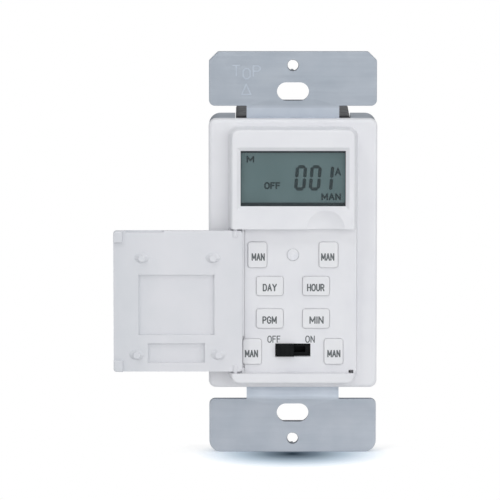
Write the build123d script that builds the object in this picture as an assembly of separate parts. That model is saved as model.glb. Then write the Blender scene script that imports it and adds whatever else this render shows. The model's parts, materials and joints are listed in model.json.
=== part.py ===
from build123d import *
import os

# An in-wall timer switch, in millimetres, as someone who stands before it sees it:
# X runs to the right, Y into the wall and Z up. The origin is midway between the two
# wall-plate screw holes, on the back of the strap's ears.

# Gaps between pieces
slide_gap = 0.15
key_gap = 0.1
near_gap = 0.3
screw_gap = 0.05
pin_gap = 0.05
press_gap = 0.3
overrun = 2.0

# Mounting strap: two ears, two joggled necks and the tray behind the cover
strap_thickness = 1.3
ear_side_inset = 0.1
ear_height = 13.95
neck_length = 3.14
ear_top_chamfer = 2.3
ear_chamfer_radius = 0.8
ear_inner_radius = 1.5
ear_bottom_radius = 3.0
ear_edge_radius = 0.25
neck_width = 23.75
joggle_depth = 1.2
joggle_ramp = 2.6
box_slot_inset = 3.67
box_slot_length = 8.2
box_slot_height = 4.75
plate_hole_inset = 10.4
plate_hole_radius = 1.5
plate_collar_wall = 0.7
plate_collar_height = 0.9
tray_corner = 3.0
tray_wall_depth = 11.4
tray_bend = 1.0
relief_depth = 1.5
tray_side_ring = 5.0
tray_end_ring = 6.8
opening_corner = 2.0
ground_tab_width = 6.2
ground_tab_length = 10.0
ground_tab_root = 1.5

# Front cover: flange, raised insert, window, sunk panel and chin
flange_thickness = 3.2
flange_step = 0.1
flange_corner = 1.9
flange_edge = 0.9
flange_skin = 1.5
flange_skirt = 1.4
flange_side = 5.0
flange_end = 1.8
insert_side_draft = 0.9
insert_end_draft = 0.25
insert_height = 6.3
insert_base_top_corner = 2.6
insert_base_bottom_corner = 2.6
insert_face_top_corner = 1.9
insert_face_bottom_corner = 1.9
insert_edge = 0.55
insert_side_wall = 0.9
insert_end_wall = 1.5
face_wall = 2.0
panel_depth = 3.4
panel_wall = 1.5
panel_foot = 5.3
panel_side = 2.825
chin_height = 2.54
window_side = 2.3
window_height = 14.2
window_foot = 5.85
window_head = 5.43
window_bevel = 0.95
window_bevel_depth = 0.7
scoop_x = 8.34
scoop_half_width = 4.85
scoop_depth = 1.2
latch_hole_width = 1.2
latch_hole_height = 0.9
latch_hole_inset = 1.65
cover_boss_radius = 1.85
cover_post_radius = 2.0
cover_post_gap = 0.95

# Display: lens, glass, holder and contact strip
lens_margin = 0.75
lens_thickness = 1.2
lcd_side_margin = 0.4
lcd_top_margin = 0.65
lcd_bottom_margin = 3.25
lcd_thickness = 2.0
lcd_frame_wall = 0.7
lcd_frame_back = 1.0
lcd_post_radius = 2.0
lcd_post_inset_x = 2.0
lcd_post_inset_z = 4.5
zebra_length = 23.8
zebra_height = 1.8
zebra_rise = 0.4

# Control board and what it carries
board_drop = 0.5
board_thickness = 1.6
board_margin_x = 0.7
board_margin_z = 1.4
board_corner = 1.0
chip_size = 10.0
chip_height = 1.4
chip_head = 8.8
crystal_length = 8.0
crystal_radius = 1.5
crystal_gap = 3.3
battery_radius = 10.0
battery_height = 3.2
battery_inset = 6.3
battery_foot = 0.3
clip_width = 6.0
clip_thickness = 0.4
header_pins = 5
header_pitch = 2.54
header_height = 2.5
header_pin_size = 0.64
header_pin_reach = 6.4
header_side = 3.5
header_head = 6.95

# Keys and their switches: key sizes as seen from the front
manual_key_width = 4.85
manual_key_height = 6.64
program_key_width = 6.9
program_key_height = 5.0
manual_upper_drop = 7.04
manual_upper_inset = 1.35
manual_lower_drop = 8.55
manual_lower_gap = 3.5
manual_lower_stem = 1.0
day_row_drop = 8.06
program_row_drop = 8.45
program_key_gap = 4.95
key_rise = 0.5
key_corner = 0.7
key_crown = 0.25
key_flange = 0.45
key_flange_height = 0.8
key_seat = 0.1
key_travel = 0.5
switch_size = 5.0
switch_height = 3.5
switch_corner = 0.3
plunger_radius = 1.5
plunger_depth = 1.1

# Indicator
pipe_radius = 1.5
pipe_rise = 0.1
pipe_flange = 0.6
pipe_flange_height = 0.6
led_width = 3.0
led_height = 1.6
led_thickness = 1.1

# ON and OFF slide switch
slide_slot_width = 9.05
slide_slot_height = 3.45
slide_rise = 0.33
slide_travel = 4.0
knob_rise = 0.9
knob_edge = 0.2
knob_stem_width = 2.2
knob_stem_height = 1.2
slide_body_wall = 1.0
carriage_width = 5.0
carriage_height = 2.8
carriage_thickness = 0.8
contact_thickness = 0.4
carriage_drop = 2.0

# Door, its hinge pins, pressing nubs and tabs
door_thickness = 1.5
door_end_gap = 0.5
door_free_reach = 0.7
door_hinge_reach = 1.81
door_corner = 0.8
door_edge = 0.35
hinge_inset = 0.93
hinge_depth = 1.1
hinge_pin_radius = 0.5
hinge_pin_reach = 0.85
hinge_socket_spare = 0.15
knuckle_radius = 0.8
knuckle_length = 1.6
trench_width = 3.3
trench_depth = 0.5
nub_base_radius = 1.3
nub_tip_radius = 0.8
door_tab_width = 2.4
door_tab_length = 3.0
door_tab_rise = 1.0
door_groove = 0.5
upper_groove_side = 0.05
upper_groove_head = 0.425
upper_groove_foot = 1.375
lower_groove_width = 14.6
lower_groove_height = 5.0
lower_groove_drop = 0.3
lip_depth = 0.4

# Rear housing and its four screws
housing_side_gap = 0.4
housing_lap = 0.5
housing_back_gap = 1.5
housing_corner = 2.0
housing_wall = 1.5
housing_edge = 1.0
tower_notch = 2.775
tower_end_reach = 0.35
tower_depth = 25.5
tower_corner = 0.8
tower_wall = 1.6
tower_core_gap = 3.1
housing_screw_side = 3.9
housing_screw_inset = 3.0
housing_screw_radius = 1.1
housing_screw_bite = 3.6
screw_head_radius = 2.0
screw_head_height = 1.5
counterbore_depth = 1.7
counterbore_gap = 0.3
screw_passage = 0.3
label_width = 24.0
label_height = 30.0
label_thickness = 0.15

# Side terminals
terminal_gap = 9.6
pocket_height = 10.0
pocket_length = 9.0
pocket_depth = 5.6
pocket_wall = 1.2
terminal_plate_thickness = 0.8
terminal_plate_height = 9.0
terminal_plate_length = 8.0
terminal_tab_height = 3.0
clamp_height = 8.0
clamp_length = 7.0
clamp_thickness = 0.8
terminal_screw_radius = 1.7
terminal_head_radius = 3.1
terminal_head_height = 2.0
terminal_screw_reach = 2.2
driver_slot_width = 0.9
driver_slot_depth = 0.8
ground_screw_radius = 1.9
ground_screw_reach = 3.2

# Power board and what it carries
power_board_gap = 7.4
power_board_thickness = 1.6
power_board_margin = 0.3
barrier_thickness = 0.4
barrier_flap = 1.4
relay_width = 15.4
relay_height = 19.0
relay_depth = 15.2
relay_foot = 3.4
film_width = 8.0
film_height = 17.6
film_depth = 14.0
film_side = 2.0
film_head = 6.1
can_radius = 5.0
can_depth = 15.0
can_side = 0.4
can_gap = 4.6
varistor_radius = 5.0
varistor_thickness = 4.0
varistor_lead = 1.5
varistor_gap = 1.1
wire_radius = 0.4
wire_spread = 2.5
fuse_radius = 3.5
fuse_depth = 7.5
fuse_head = 0.8
bridge_width = 8.4
bridge_height = 6.4
bridge_depth = 3.0
choke_radius = 4.4
choke_depth = 11.0
choke_groove = 1.0
choke_rim = 1.5
corner_part_side = 5.1
corner_part_foot = 4.7

# Board screws
board_screw_radius = 0.9
board_head_radius = 1.8
board_head_height = 1.2
board_screw_bite = 3.5

# Levels along Y, from the cover's face to the back of the housing
ear_front_y = -strap_thickness
tray_front_y = ear_front_y + joggle_depth
tray_back_y = tray_front_y + strap_thickness
tray_end_y = tray_front_y + tray_wall_depth
flange_front_y = tray_front_y - flange_thickness
face_y = flange_front_y - insert_height
panel_y = face_y + panel_depth
panel_back_y = panel_y + panel_wall
face_back_y = face_y + face_wall
trench_y = panel_y + trench_depth
lens_front_y = face_y + window_bevel_depth
lens_back_y = lens_front_y + lens_thickness
lcd_front_y = lens_back_y + slide_gap
lcd_back_y = lcd_front_y + lcd_thickness
lcd_frame_back_y = lcd_back_y + lcd_frame_back
board_front_y = tray_front_y + board_drop
board_back_y = board_front_y + board_thickness
key_top_y = panel_y - key_rise
key_flange_y = panel_back_y + key_seat
key_bottom_y = key_flange_y + key_flange_height
switch_top_y = board_front_y - switch_height
power_front_y = board_back_y + power_board_gap
power_back_y = power_front_y + power_board_thickness
pocket_front_y = power_back_y + pocket_wall
pocket_back_y = pocket_front_y + pocket_length
pocket_mid_y = pocket_front_y + pocket_length / 2
tower_back_y = tray_back_y + tower_depth
housing_floor_y = power_back_y + relay_depth + housing_back_gap
housing_back_y = housing_floor_y + housing_wall

# Other places that follow from the sizes
manual_lower_x = slide_slot_width / 2 + manual_lower_gap + manual_key_width / 2
manual_upper_x = manual_lower_x - manual_upper_inset
program_key_x = (program_key_gap + program_key_width) / 2
insert_face_width = 2 * (manual_lower_x + manual_key_width / 2 + panel_side)
panel_height = (manual_upper_drop + day_row_drop + program_row_drop + manual_lower_drop
                + panel_foot)
window_width = insert_face_width - 2 * window_side
display_height = window_foot + window_height + window_head
insert_face_height = chin_height + panel_height + display_height
insert_base_width = insert_face_width + 2 * insert_side_draft
insert_base_height = insert_face_height + 2 * insert_end_draft
flange_width = insert_base_width + 2 * flange_side
flange_height = insert_base_height + 2 * flange_end
tray_width = flange_width
tray_height = flange_height + 2 * flange_step
ear_width = tray_width - 2 * ear_side_inset
tray_half_width = tray_width / 2
tray_half_height = tray_height / 2
opening_width = tray_width - 2 * tray_side_ring
opening_height = tray_height - 2 * tray_end_ring
ear_inner_z = tray_half_height + neck_length
box_slot_z = ear_inner_z + box_slot_inset
plate_hole_z = ear_inner_z + plate_hole_inset
tower_width = neck_width + 2 * tower_notch
tower_height = tray_height + 2 * tower_end_reach
relief_half_width = tower_width / 2 + slide_gap
panel_low_z = chin_height - insert_face_height / 2
panel_high_z = panel_low_z + panel_height
manual_upper_z = panel_high_z - manual_upper_drop
day_row_z = manual_upper_z - day_row_drop
program_row_z = day_row_z - program_row_drop
manual_lower_z = program_row_z - manual_lower_drop
slide_z = manual_lower_z + slide_rise
window_z = panel_high_z + window_foot + window_height / 2
cover_post_x = program_key_x + program_key_width / 2 + key_flange + cover_post_gap + cover_post_radius
cavity_width = insert_face_width - 2 * insert_side_wall
cavity_end_z = insert_face_height / 2 - insert_end_wall
display_cavity_z = panel_high_z + insert_end_wall
housing_width = tray_width - 2 * (strap_thickness + housing_side_gap)
housing_height = opening_height + 2 * housing_lap
housing_screw_x = tower_width / 2 - housing_screw_side
tower_core_width = 2 * (housing_screw_x - tower_core_gap)
housing_screw_z = opening_height / 2 + housing_screw_inset
lens_width = window_width + 2 * lens_margin
lens_height = window_height + 2 * lens_margin
lcd_width = window_width + 2 * lcd_side_margin
lcd_height = window_height + lcd_top_margin + lcd_bottom_margin
lcd_top_z = window_z + window_height / 2 + lcd_top_margin
lcd_bottom_z = lcd_top_z - lcd_height
zebra_z = lcd_bottom_z + zebra_rise + zebra_height / 2
lcd_post_x = lcd_width / 2 - lcd_post_inset_x
lcd_post_z = lcd_top_z - lcd_post_inset_z
board_width = opening_width - 2 * board_margin_x
board_height = opening_height - 2 * board_margin_z
cover_post_z = program_row_z
chip_x = -chip_size / 2
chip_z = board_height / 2 - chip_head - chip_size / 2
crystal_z = chip_z + chip_size / 2 + crystal_gap + crystal_radius
battery_z = battery_inset + battery_radius - board_height / 2
header_length = header_pins * header_pitch
header_x = board_width / 2 - header_side
header_z = board_height / 2 - header_head - header_length / 2
battery_front_y = board_back_y + battery_foot
battery_back_y = battery_front_y + battery_height
hinge_x = -(insert_face_width / 2 - hinge_inset)
hinge_y = face_y + hinge_depth
trench_edge_x = -insert_base_width / 2 + trench_width + overrun / 2
door_left_x = hinge_x - door_hinge_reach
door_right_x = insert_face_width / 2 + door_free_reach
door_top_z = panel_high_z - door_end_gap
door_bottom_z = panel_low_z + door_end_gap
door_back_y = face_y + door_thickness
nub_tip_y = key_top_y - press_gap
knob_width = (slide_slot_width - 2 * slide_gap) / 2 + slide_gap
knob_travel_half = slide_travel / 2
slide_body_width = carriage_width + slide_travel + 2 * (near_gap + slide_body_wall)
carriage_y = board_front_y - carriage_drop - carriage_thickness
contact_back_y = carriage_y + carriage_thickness
contact_y = contact_back_y - contact_thickness
pocket_floor_x = housing_width / 2 - pocket_depth
terminal_outer_x = pocket_floor_x + terminal_plate_thickness
clamp_outer_x = terminal_outer_x + clamp_thickness
socket_front_y = board_back_y + header_height + near_gap
barrier_y = power_front_y - barrier_flap - barrier_thickness
power_width = housing_width - 2 * (housing_wall + power_board_margin)
power_height = housing_height - 2 * (housing_wall + power_board_margin)
terminal_z = (terminal_gap + pocket_height) / 2 + pocket_wall
relay_z = relay_foot + relay_height / 2 - power_height / 2
film_x = -film_side - film_width / 2
film_z = power_height / 2 - film_head - film_height / 2
can_x = can_side + can_radius
fuse_z = power_height / 2 - fuse_head - fuse_radius
varistor_z = fuse_z - fuse_radius - varistor_gap - varistor_thickness / 2
can_z = varistor_z - varistor_thickness / 2 - can_gap - can_radius
corner_part_x = power_width / 2 - corner_part_side
corner_part_z = corner_part_foot - power_height / 2
upper_groove_width = 2 * (program_key_x + program_key_width / 2 + upper_groove_side)
upper_groove_top_z = day_row_z + program_key_height / 2 + upper_groove_head
upper_groove_low_z = program_row_z - program_key_height / 2 - upper_groove_foot
ground_tab_x = -(relief_half_width + ground_tab_width / 2)
ground_tab_y = tray_end_y + ground_tab_root + (ground_tab_length - ground_tab_root) / 2

# name, middle X, middle Z, width, height and how far above its middle the stem presses
keys = [
    ("manual_upper_left", -manual_upper_x, manual_upper_z, manual_key_width, manual_key_height, 0),
    ("manual_upper_right", manual_upper_x, manual_upper_z, manual_key_width, manual_key_height, 0),
    ("day", -program_key_x, day_row_z, program_key_width, program_key_height, 0),
    ("hour", program_key_x, day_row_z, program_key_width, program_key_height, 0),
    ("program", -program_key_x, program_row_z, program_key_width, program_key_height, 0),
    ("minute", program_key_x, program_row_z, program_key_width, program_key_height, 0),
    ("manual_lower_left", -manual_lower_x, manual_lower_z, manual_key_width, manual_key_height,
     manual_lower_stem),
    ("manual_lower_right", manual_lower_x, manual_lower_z, manual_key_width, manual_key_height,
     manual_lower_stem),
]
manual_keys = [key for key in keys if key[0].startswith("manual")]
corners = [(side, end) for side in (-1, 1) for end in (-1, 1)]


def front_plane(y):
    """A plane across the object at depth y, with X to the right and Z up."""
    return Plane.XZ.offset(-y)


def prism(sketch, back_y, front_y):
    """Extrude a front-view outline from back_y forward to front_y."""
    return extrude(front_plane(back_y) * sketch, back_y - front_y)


def block(x_span, y_span, z_span):
    """A box between the given low and high places along each axis."""
    size = [high - low for low, high in (x_span, y_span, z_span)]
    middle = [(high + low) / 2 for low, high in (x_span, y_span, z_span)]
    return Pos(*middle) * Box(*size)


def rod(radius, x, z, front_y, back_y):
    """A round rod along Y."""
    return prism(Pos(x, z) * Circle(radius), back_y, front_y)


def side_rod(radius, y, z, low_x, high_x):
    """A round rod along X."""
    return extrude(Plane.YZ.offset(low_x) * (Pos(y, z) * Circle(radius)), high_x - low_x)


def upright_rod(radius, x, y, low_z, high_z):
    """A round rod along Z."""
    return extrude(Plane.XY.offset(low_z) * (Pos(x, y) * Circle(radius)), high_z - low_z)


def front_edges(solid):
    return solid.edges().group_by(Axis.Y)[0]


def back_edges(solid):
    return solid.edges().group_by(Axis.Y)[-1]


def around(middle, size):
    """The span of a size centred on a place."""
    return (middle - size / 2, middle + size / 2)


def strap_ear(end):
    """The upper ear (end 1) has chamfered outer corners, the lower one (end -1) round ones."""
    outline = Rectangle(ear_width, ear_height)
    rows = outline.vertices().group_by(Axis.Y)
    outer_row = rows[-1] if end > 0 else rows[0]
    if end > 0:
        outline = chamfer(outer_row, ear_top_chamfer)
        rows = outline.vertices().group_by(Axis.Y)
        outline = fillet(rows[-1] + rows[-2], ear_chamfer_radius)
    else:
        outline = fillet(outer_row, ear_bottom_radius)
    rows = outline.vertices().group_by(Axis.Y)
    inner_row = rows[0] if end > 0 else rows[-1]
    outline = fillet(inner_row, ear_inner_radius)
    solid = prism(Pos(0, end * (ear_inner_z + ear_height / 2)) * outline, 0, ear_front_y)
    solid = fillet(front_edges(solid), ear_edge_radius)
    hole_z = end * plate_hole_z
    solid += rod(plate_hole_radius + plate_collar_wall, 0, hole_z, 0, plate_collar_height)
    solid -= rod(plate_hole_radius, 0, hole_z, ear_front_y - overrun, plate_collar_height + overrun)
    slot = Pos(0, end * box_slot_z) * SlotOverall(box_slot_length, box_slot_height)
    return solid - prism(slot, overrun, ear_front_y - overrun)


def strap_neck(end):
    """The joggled strip that steps from the tray's level forward to the ear's level."""
    root_z = tray_half_height - relief_depth - slide_gap
    ramp_z = tray_half_height + slide_gap
    tip_z = ear_inner_z + strap_thickness
    front = [(tray_front_y, root_z), (tray_front_y, ramp_z), (ear_front_y, ramp_z + joggle_ramp),
             (ear_front_y, tip_z)]
    back = [(y + strap_thickness, z) for y, z in reversed(front)]
    profile = make_face(Polyline(*front, *back, close=True))
    neck = extrude(Plane.YZ * profile, neck_width / 2, both=True)
    return neck if end > 0 else mirror(neck, Plane.XY)


def mounting_strap():
    tray = prism(RectangleRounded(tray_width, tray_height, tray_corner), tray_end_y, tray_front_y)
    tray = fillet(front_edges(tray), tray_bend)
    hollow = RectangleRounded(tray_width - 2 * strap_thickness, tray_height - 2 * strap_thickness,
                              tray_corner - strap_thickness)
    tray -= prism(hollow, tray_end_y + overrun, tray_back_y)
    for end in (-1, 1):
        relief_z = end * (tray_half_height - relief_depth)
        past_z = end * (tray_half_height + overrun)
        tray -= block((-relief_half_width, relief_half_width),
                      (tray_front_y - overrun, tray_end_y + overrun), sorted((relief_z, past_z)))
    tray -= prism(RectangleRounded(opening_width, opening_height, opening_corner),
                  tray_back_y + overrun, tray_front_y - overrun)
    for side, end in corners:
        tray -= rod(housing_screw_radius + screw_passage, side * housing_screw_x,
                    end * housing_screw_z, tray_front_y - overrun, tray_back_y + overrun)
    tab_z = (-tray_half_height, -tray_half_height + strap_thickness)
    root_x = (-(tray_half_width - tray_corner), -relief_half_width)
    tab_mid_y = tray_end_y + ground_tab_root
    tray += block(root_x, (tray_back_y, tab_mid_y + ground_tab_root), tab_z)
    tray += block(around(ground_tab_x, ground_tab_width),
                  (tab_mid_y, tray_end_y + ground_tab_length), tab_z)
    tray -= upright_rod(ground_screw_radius + screw_gap, ground_tab_x, ground_tab_y,
                        -tray_half_height - overrun, -tray_half_height + strap_thickness + overrun)
    for end in (-1, 1):
        tray += strap_neck(end)
        tray += strap_ear(end)
    return tray


def insert_outline(width, height, top_corner, bottom_corner):
    outline = Rectangle(width, height)
    outline = fillet(outline.vertices().group_by(Axis.Y)[-1], top_corner)
    return fillet(outline.vertices().group_by(Axis.Y)[0], bottom_corner)


def cover_shell():
    """The flange and the raised insert, still solid."""
    flange = prism(RectangleRounded(flange_width, flange_height, flange_corner),
                   tray_front_y, flange_front_y)
    flange = fillet(front_edges(flange), flange_edge)
    base = insert_outline(insert_base_width, insert_base_height,
                          insert_base_top_corner, insert_base_bottom_corner)
    face = insert_outline(insert_face_width, insert_face_height,
                          insert_face_top_corner, insert_face_bottom_corner)
    insert = loft([front_plane(flange_front_y) * base.face(), front_plane(face_y) * face.face()],
                  ruled=True)
    insert = fillet(front_edges(insert), insert_edge)
    return flange + insert


def cover_hollows():
    """What is taken out from behind: display bay, panel bay and the groove under the flange."""
    back = tray_front_y + overrun
    display_bay = block(around(0, cavity_width), (face_back_y, back),
                        (display_cavity_z, cavity_end_z))
    panel_bay = block(around(0, cavity_width), (panel_back_y, back),
                      (-cavity_end_z, display_cavity_z + overrun))
    groove = RectangleRounded(flange_width - 2 * flange_skirt, flange_height - 2 * flange_skirt,
                              flange_corner)
    groove -= RectangleRounded(insert_base_width, insert_base_height, insert_base_top_corner)
    return display_bay + panel_bay + prism(groove, back, flange_front_y + flange_skin)


def cover_window():
    """The bevelled window and the seat of the lens behind it."""
    wide = Rectangle(window_width + 2 * window_bevel, window_height + 2 * window_bevel)
    inner = Rectangle(window_width, window_height)
    bevel = loft([front_plane(face_y) * (Pos(0, window_z) * wide).face(),
                  front_plane(lens_front_y) * (Pos(0, window_z) * inner).face()], ruled=True)
    through = prism(Pos(0, window_z) * inner, face_back_y + overrun, lens_front_y)
    seat = Rectangle(lens_width + 2 * slide_gap, lens_height + 2 * slide_gap)
    return bevel + through + prism(Pos(0, window_z) * seat, face_back_y + overrun, lens_front_y)


def cover_panel():
    """The sunk panel, open to both sides, with the deeper trench beside the hinge."""
    past_x = insert_base_width / 2 + overrun
    z_span = (panel_low_z, panel_high_z)
    panel = block((-past_x, past_x), (face_y - overrun, panel_y), z_span)
    trench = block((-past_x, trench_edge_x), (face_y - overrun, trench_y), z_span)
    return panel + trench


def cover_openings():
    """Openings for the keys, the light pipe and the knob, the latch hole and the hinge sockets."""
    y_span = (trench_y + overrun, panel_y - overrun)
    cut = prism(Pos(0, slide_z) * Rectangle(slide_slot_width, slide_slot_height), *y_span)
    for _, x, z, width, height, _ in keys:
        hole = RectangleRounded(width + 2 * key_gap, height + 2 * key_gap, key_corner + key_gap)
        cut += prism(Pos(x, z) * hole, *y_span)
    cut += rod(pipe_radius + key_gap, 0, manual_upper_z, *reversed(y_span))
    latch_x = insert_base_width / 2 - latch_hole_inset
    cut += prism(Pos(latch_x, panel_low_z) * Rectangle(latch_hole_width, latch_hole_height), *y_span)
    reach = hinge_pin_reach + hinge_socket_spare
    cut += upright_rod(hinge_pin_radius + pin_gap, hinge_x, hinge_y,
                       panel_low_z - reach + door_end_gap, panel_high_z + reach - door_end_gap)
    return cut


def front_cover():
    cover = cover_shell() - cover_hollows()
    for side, end in corners:
        start_y = face_back_y if end > 0 else panel_back_y
        boss = rod(cover_boss_radius, side * housing_screw_x, end * housing_screw_z,
                   start_y - face_wall / 2, tray_front_y)
        cover += boss
    for side in (-1, 1):
        cover += rod(cover_post_radius, side * cover_post_x, cover_post_z,
                     panel_back_y - panel_wall / 2 + trench_depth, board_front_y)
    cover = cover - cover_window() - cover_panel() - cover_openings()
    scoop_radius = (scoop_half_width ** 2 + scoop_depth ** 2) / (2 * scoop_depth)
    cover -= Pos(scoop_x, face_y - scoop_radius + scoop_depth, panel_high_z) * Sphere(scoop_radius)
    for side, end in corners:
        cover -= rod(housing_screw_radius + screw_gap, side * housing_screw_x,
                     end * housing_screw_z, tray_front_y - housing_screw_bite - near_gap,
                     tray_front_y + overrun)
    for side in (-1, 1):
        cover -= rod(board_screw_radius + screw_gap, side * cover_post_x, cover_post_z,
                     board_front_y - board_screw_bite - near_gap, board_front_y + overrun)
    return cover


def display_window():
    lens = prism(Pos(0, window_z) * Rectangle(lens_width, lens_height), lens_back_y, lens_front_y)
    return chamfer(front_edges(lens), window_bevel_depth / 4)


def lcd_panel():
    """Two bonded glasses: the rear one is longer at the bottom, where the contacts are."""
    rear = block(around(0, lcd_width), (lcd_front_y + lcd_thickness / 2, lcd_back_y),
                 (lcd_bottom_z, lcd_top_z))
    ledge = zebra_rise + zebra_height
    front = block(around(0, lcd_width), (lcd_front_y, lcd_front_y + lcd_thickness / 2),
                  (lcd_bottom_z + ledge, lcd_top_z))
    return rear + front


def lcd_frame():
    wall = lcd_frame_wall + slide_gap
    outer_x = around(0, lcd_width + 2 * wall)
    frame = block(outer_x, (lcd_front_y, lcd_frame_back_y), (lcd_bottom_z - wall, lcd_top_z + wall))
    frame -= block(around(0, lcd_width + 2 * slide_gap), (lcd_front_y - overrun, lcd_back_y),
                   (lcd_bottom_z - slide_gap, lcd_top_z + slide_gap))
    frame -= block(around(0, zebra_length + 2 * slide_gap), (lcd_back_y - overrun,
                   lcd_frame_back_y + overrun), around(zebra_z, zebra_height + 2 * slide_gap))
    for side in (-1, 1):
        frame += rod(lcd_post_radius, side * lcd_post_x, lcd_post_z,
                     lcd_back_y + lcd_frame_back / 2, board_front_y)
        frame -= rod(board_screw_radius + screw_gap, side * lcd_post_x, lcd_post_z,
                     board_front_y - board_screw_bite - near_gap, board_front_y + overrun)
    return frame


def zebra_connector():
    return block(around(0, zebra_length), (lcd_back_y, board_front_y),
                 around(zebra_z, zebra_height))


def board_screw_places():
    places = [(side * cover_post_x, cover_post_z) for side in (-1, 1)]
    return places + [(side * lcd_post_x, lcd_post_z) for side in (-1, 1)]


def control_board():
    board = prism(RectangleRounded(board_width, board_height, board_corner),
                  board_back_y, board_front_y)
    for x, z in board_screw_places():
        board -= rod(board_screw_radius + screw_gap, x, z, board_front_y - overrun,
                     board_back_y + overrun)
    return board


def board_screws():
    screws = []
    for x, z in board_screw_places():
        shank = rod(board_screw_radius, x, z, board_front_y - board_screw_bite, board_back_y)
        head = rod(board_head_radius, x, z, board_back_y, board_back_y + board_head_height)
        head -= block(around(x, driver_slot_width / 2),
                      (board_back_y + board_head_height / 2, board_back_y + overrun),
                      around(z, 2 * board_head_radius))
        screws.append(shank + head)
    return Compound(children=screws)


def microcontroller():
    chip = block(around(chip_x, chip_size), (board_back_y, board_back_y + chip_height),
                 around(chip_z, chip_size))
    return chamfer(back_edges(chip), chip_height / 4)


def clock_crystal():
    return side_rod(crystal_radius, board_back_y + crystal_radius, crystal_z,
                    chip_x - crystal_length / 2, chip_x + crystal_length / 2)


def backup_battery():
    cell = rod(battery_radius, 0, battery_z, battery_front_y, battery_back_y)
    return fillet(back_edges(cell), battery_foot)


def battery_clip():
    """A bent strip over the cell, with a leg down to the board on each side."""
    leg_x = battery_radius + near_gap
    z_span = around(battery_z, clip_width)
    bridge_y = (battery_back_y, battery_back_y + clip_thickness)
    clip = block((-leg_x - clip_thickness, leg_x + clip_thickness), bridge_y, z_span)
    for side in (-1, 1):
        leg = sorted((side * leg_x, side * (leg_x + clip_thickness)))
        clip += block(leg, (board_back_y, bridge_y[1]), z_span)
        foot = sorted((side * leg_x, side * (leg_x + clip_width / 4)))
        clip += block(foot, (board_back_y, board_back_y + clip_thickness), z_span)
    return clip


def pin_places():
    first = header_z - header_length / 2 + header_pitch / 2
    return [first + count * header_pitch for count in range(header_pins)]


def board_header():
    header = block(around(header_x, header_pitch), (board_back_y, board_back_y + header_height),
                   around(header_z, header_length))
    for z in pin_places():
        header += block(around(header_x, header_pin_size),
                        (board_back_y, board_back_y + header_pin_reach),
                        around(z, header_pin_size))
    return header


def board_socket():
    socket = block(around(header_x, header_pitch), (socket_front_y, power_front_y),
                   around(header_z, header_length))
    hole = header_pin_size + 2 * slide_gap
    for z in pin_places():
        socket -= block(around(header_x, hole), (socket_front_y - overrun,
                        board_back_y + header_pin_reach + near_gap), around(z, hole))
    return socket


def key_cap(x, z, width, height):
    cap = prism(Pos(x, z) * RectangleRounded(width, height, key_corner), key_bottom_y, key_top_y)
    cap = fillet(front_edges(cap), key_crown)
    flange = RectangleRounded(width + 2 * key_flange, height + 2 * key_flange, key_corner)
    return cap + prism(Pos(x, z) * flange, key_bottom_y, key_flange_y)


def key_plunger(x, z):
    return rod(plunger_radius, x, z, key_bottom_y, switch_top_y + plunger_depth)


def switch_bodies():
    bodies = []
    for _, x, z, _, _, stem in keys:
        body = prism(Pos(x, z + stem) * RectangleRounded(switch_size, switch_size, switch_corner),
                     board_front_y, switch_top_y)
        well_y = switch_top_y + plunger_depth + key_travel + near_gap
        body -= rod(plunger_radius + slide_gap, x, z + stem, switch_top_y - overrun, well_y)
        bodies.append(body)
    return Compound(children=bodies)


def indicator_light_pipe():
    led_top_y = board_front_y - led_thickness
    pipe = rod(pipe_radius, 0, manual_upper_z, panel_y - pipe_rise, led_top_y)
    pipe = fillet(front_edges(pipe), pipe_rise)
    return pipe + rod(pipe_radius + pipe_flange, 0, manual_upper_z, panel_back_y,
                      panel_back_y + pipe_flange_height)


def indicator_led():
    return block(around(0, led_width), (board_front_y - led_thickness, board_front_y),
                 around(manual_upper_z, led_height))


def slide_switch_body():
    """A box under the panel's slot, with a channel for the carriage and a slit for the stem."""
    top_y = panel_back_y + key_seat
    channel = (carriage_y - near_gap, board_front_y - carriage_drop + near_gap)
    width = around(0, slide_body_width)
    height = around(slide_z, carriage_height + 2 * (slide_gap + slide_body_wall))
    body = block(width, (top_y, board_front_y), height)
    body -= block(around(0, carriage_width + slide_travel + 2 * near_gap), channel,
                  around(slide_z, carriage_height + 2 * slide_gap))
    slit = knob_stem_width + slide_travel + 2 * slide_gap
    body -= block(around(0, slit), (top_y - overrun, carriage_y),
                  around(slide_z, knob_stem_height + 2 * slide_gap))
    return body


def slide_knob():
    """The knob at OFF, the left end of its slot."""
    top_y = panel_back_y + key_seat
    height = slide_slot_height - 2 * slide_gap
    cap = block(around(-knob_travel_half, knob_width), (panel_y - knob_rise, top_y),
                around(slide_z, height))
    cap = fillet(front_edges(cap), knob_edge)
    grip_y = panel_y - knob_rise
    for share in (-1, 0, 1):
        groove_x = -knob_travel_half + share * knob_width / 4
        cap -= block(around(groove_x, knob_edge), (grip_y - overrun, grip_y + knob_edge),
                     around(slide_z, height + overrun))
    knob = cap + block(around(-knob_travel_half, knob_stem_width), (top_y, carriage_y),
                       around(slide_z, knob_stem_height))
    return knob + block(around(-knob_travel_half, carriage_width), (carriage_y, contact_y),
                        around(slide_z, carriage_height))


def slide_contact():
    """The bridge under the knob's foot, with a gap between its two ends."""
    contact = block(around(-knob_travel_half, carriage_width), (contact_y, contact_back_y),
                    around(slide_z, carriage_height))
    gap = block(around(-knob_travel_half, carriage_width / 2),
                (contact_y + contact_thickness / 2, contact_back_y + overrun),
                around(slide_z, carriage_height + overrun))
    return contact - gap


def door_outline():
    middle_x = (door_left_x + door_right_x) / 2
    middle_z = (door_top_z + door_bottom_z) / 2
    return Pos(middle_x, middle_z) * RectangleRounded(door_right_x - door_left_x,
                                                      door_top_z - door_bottom_z, door_corner)


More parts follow.
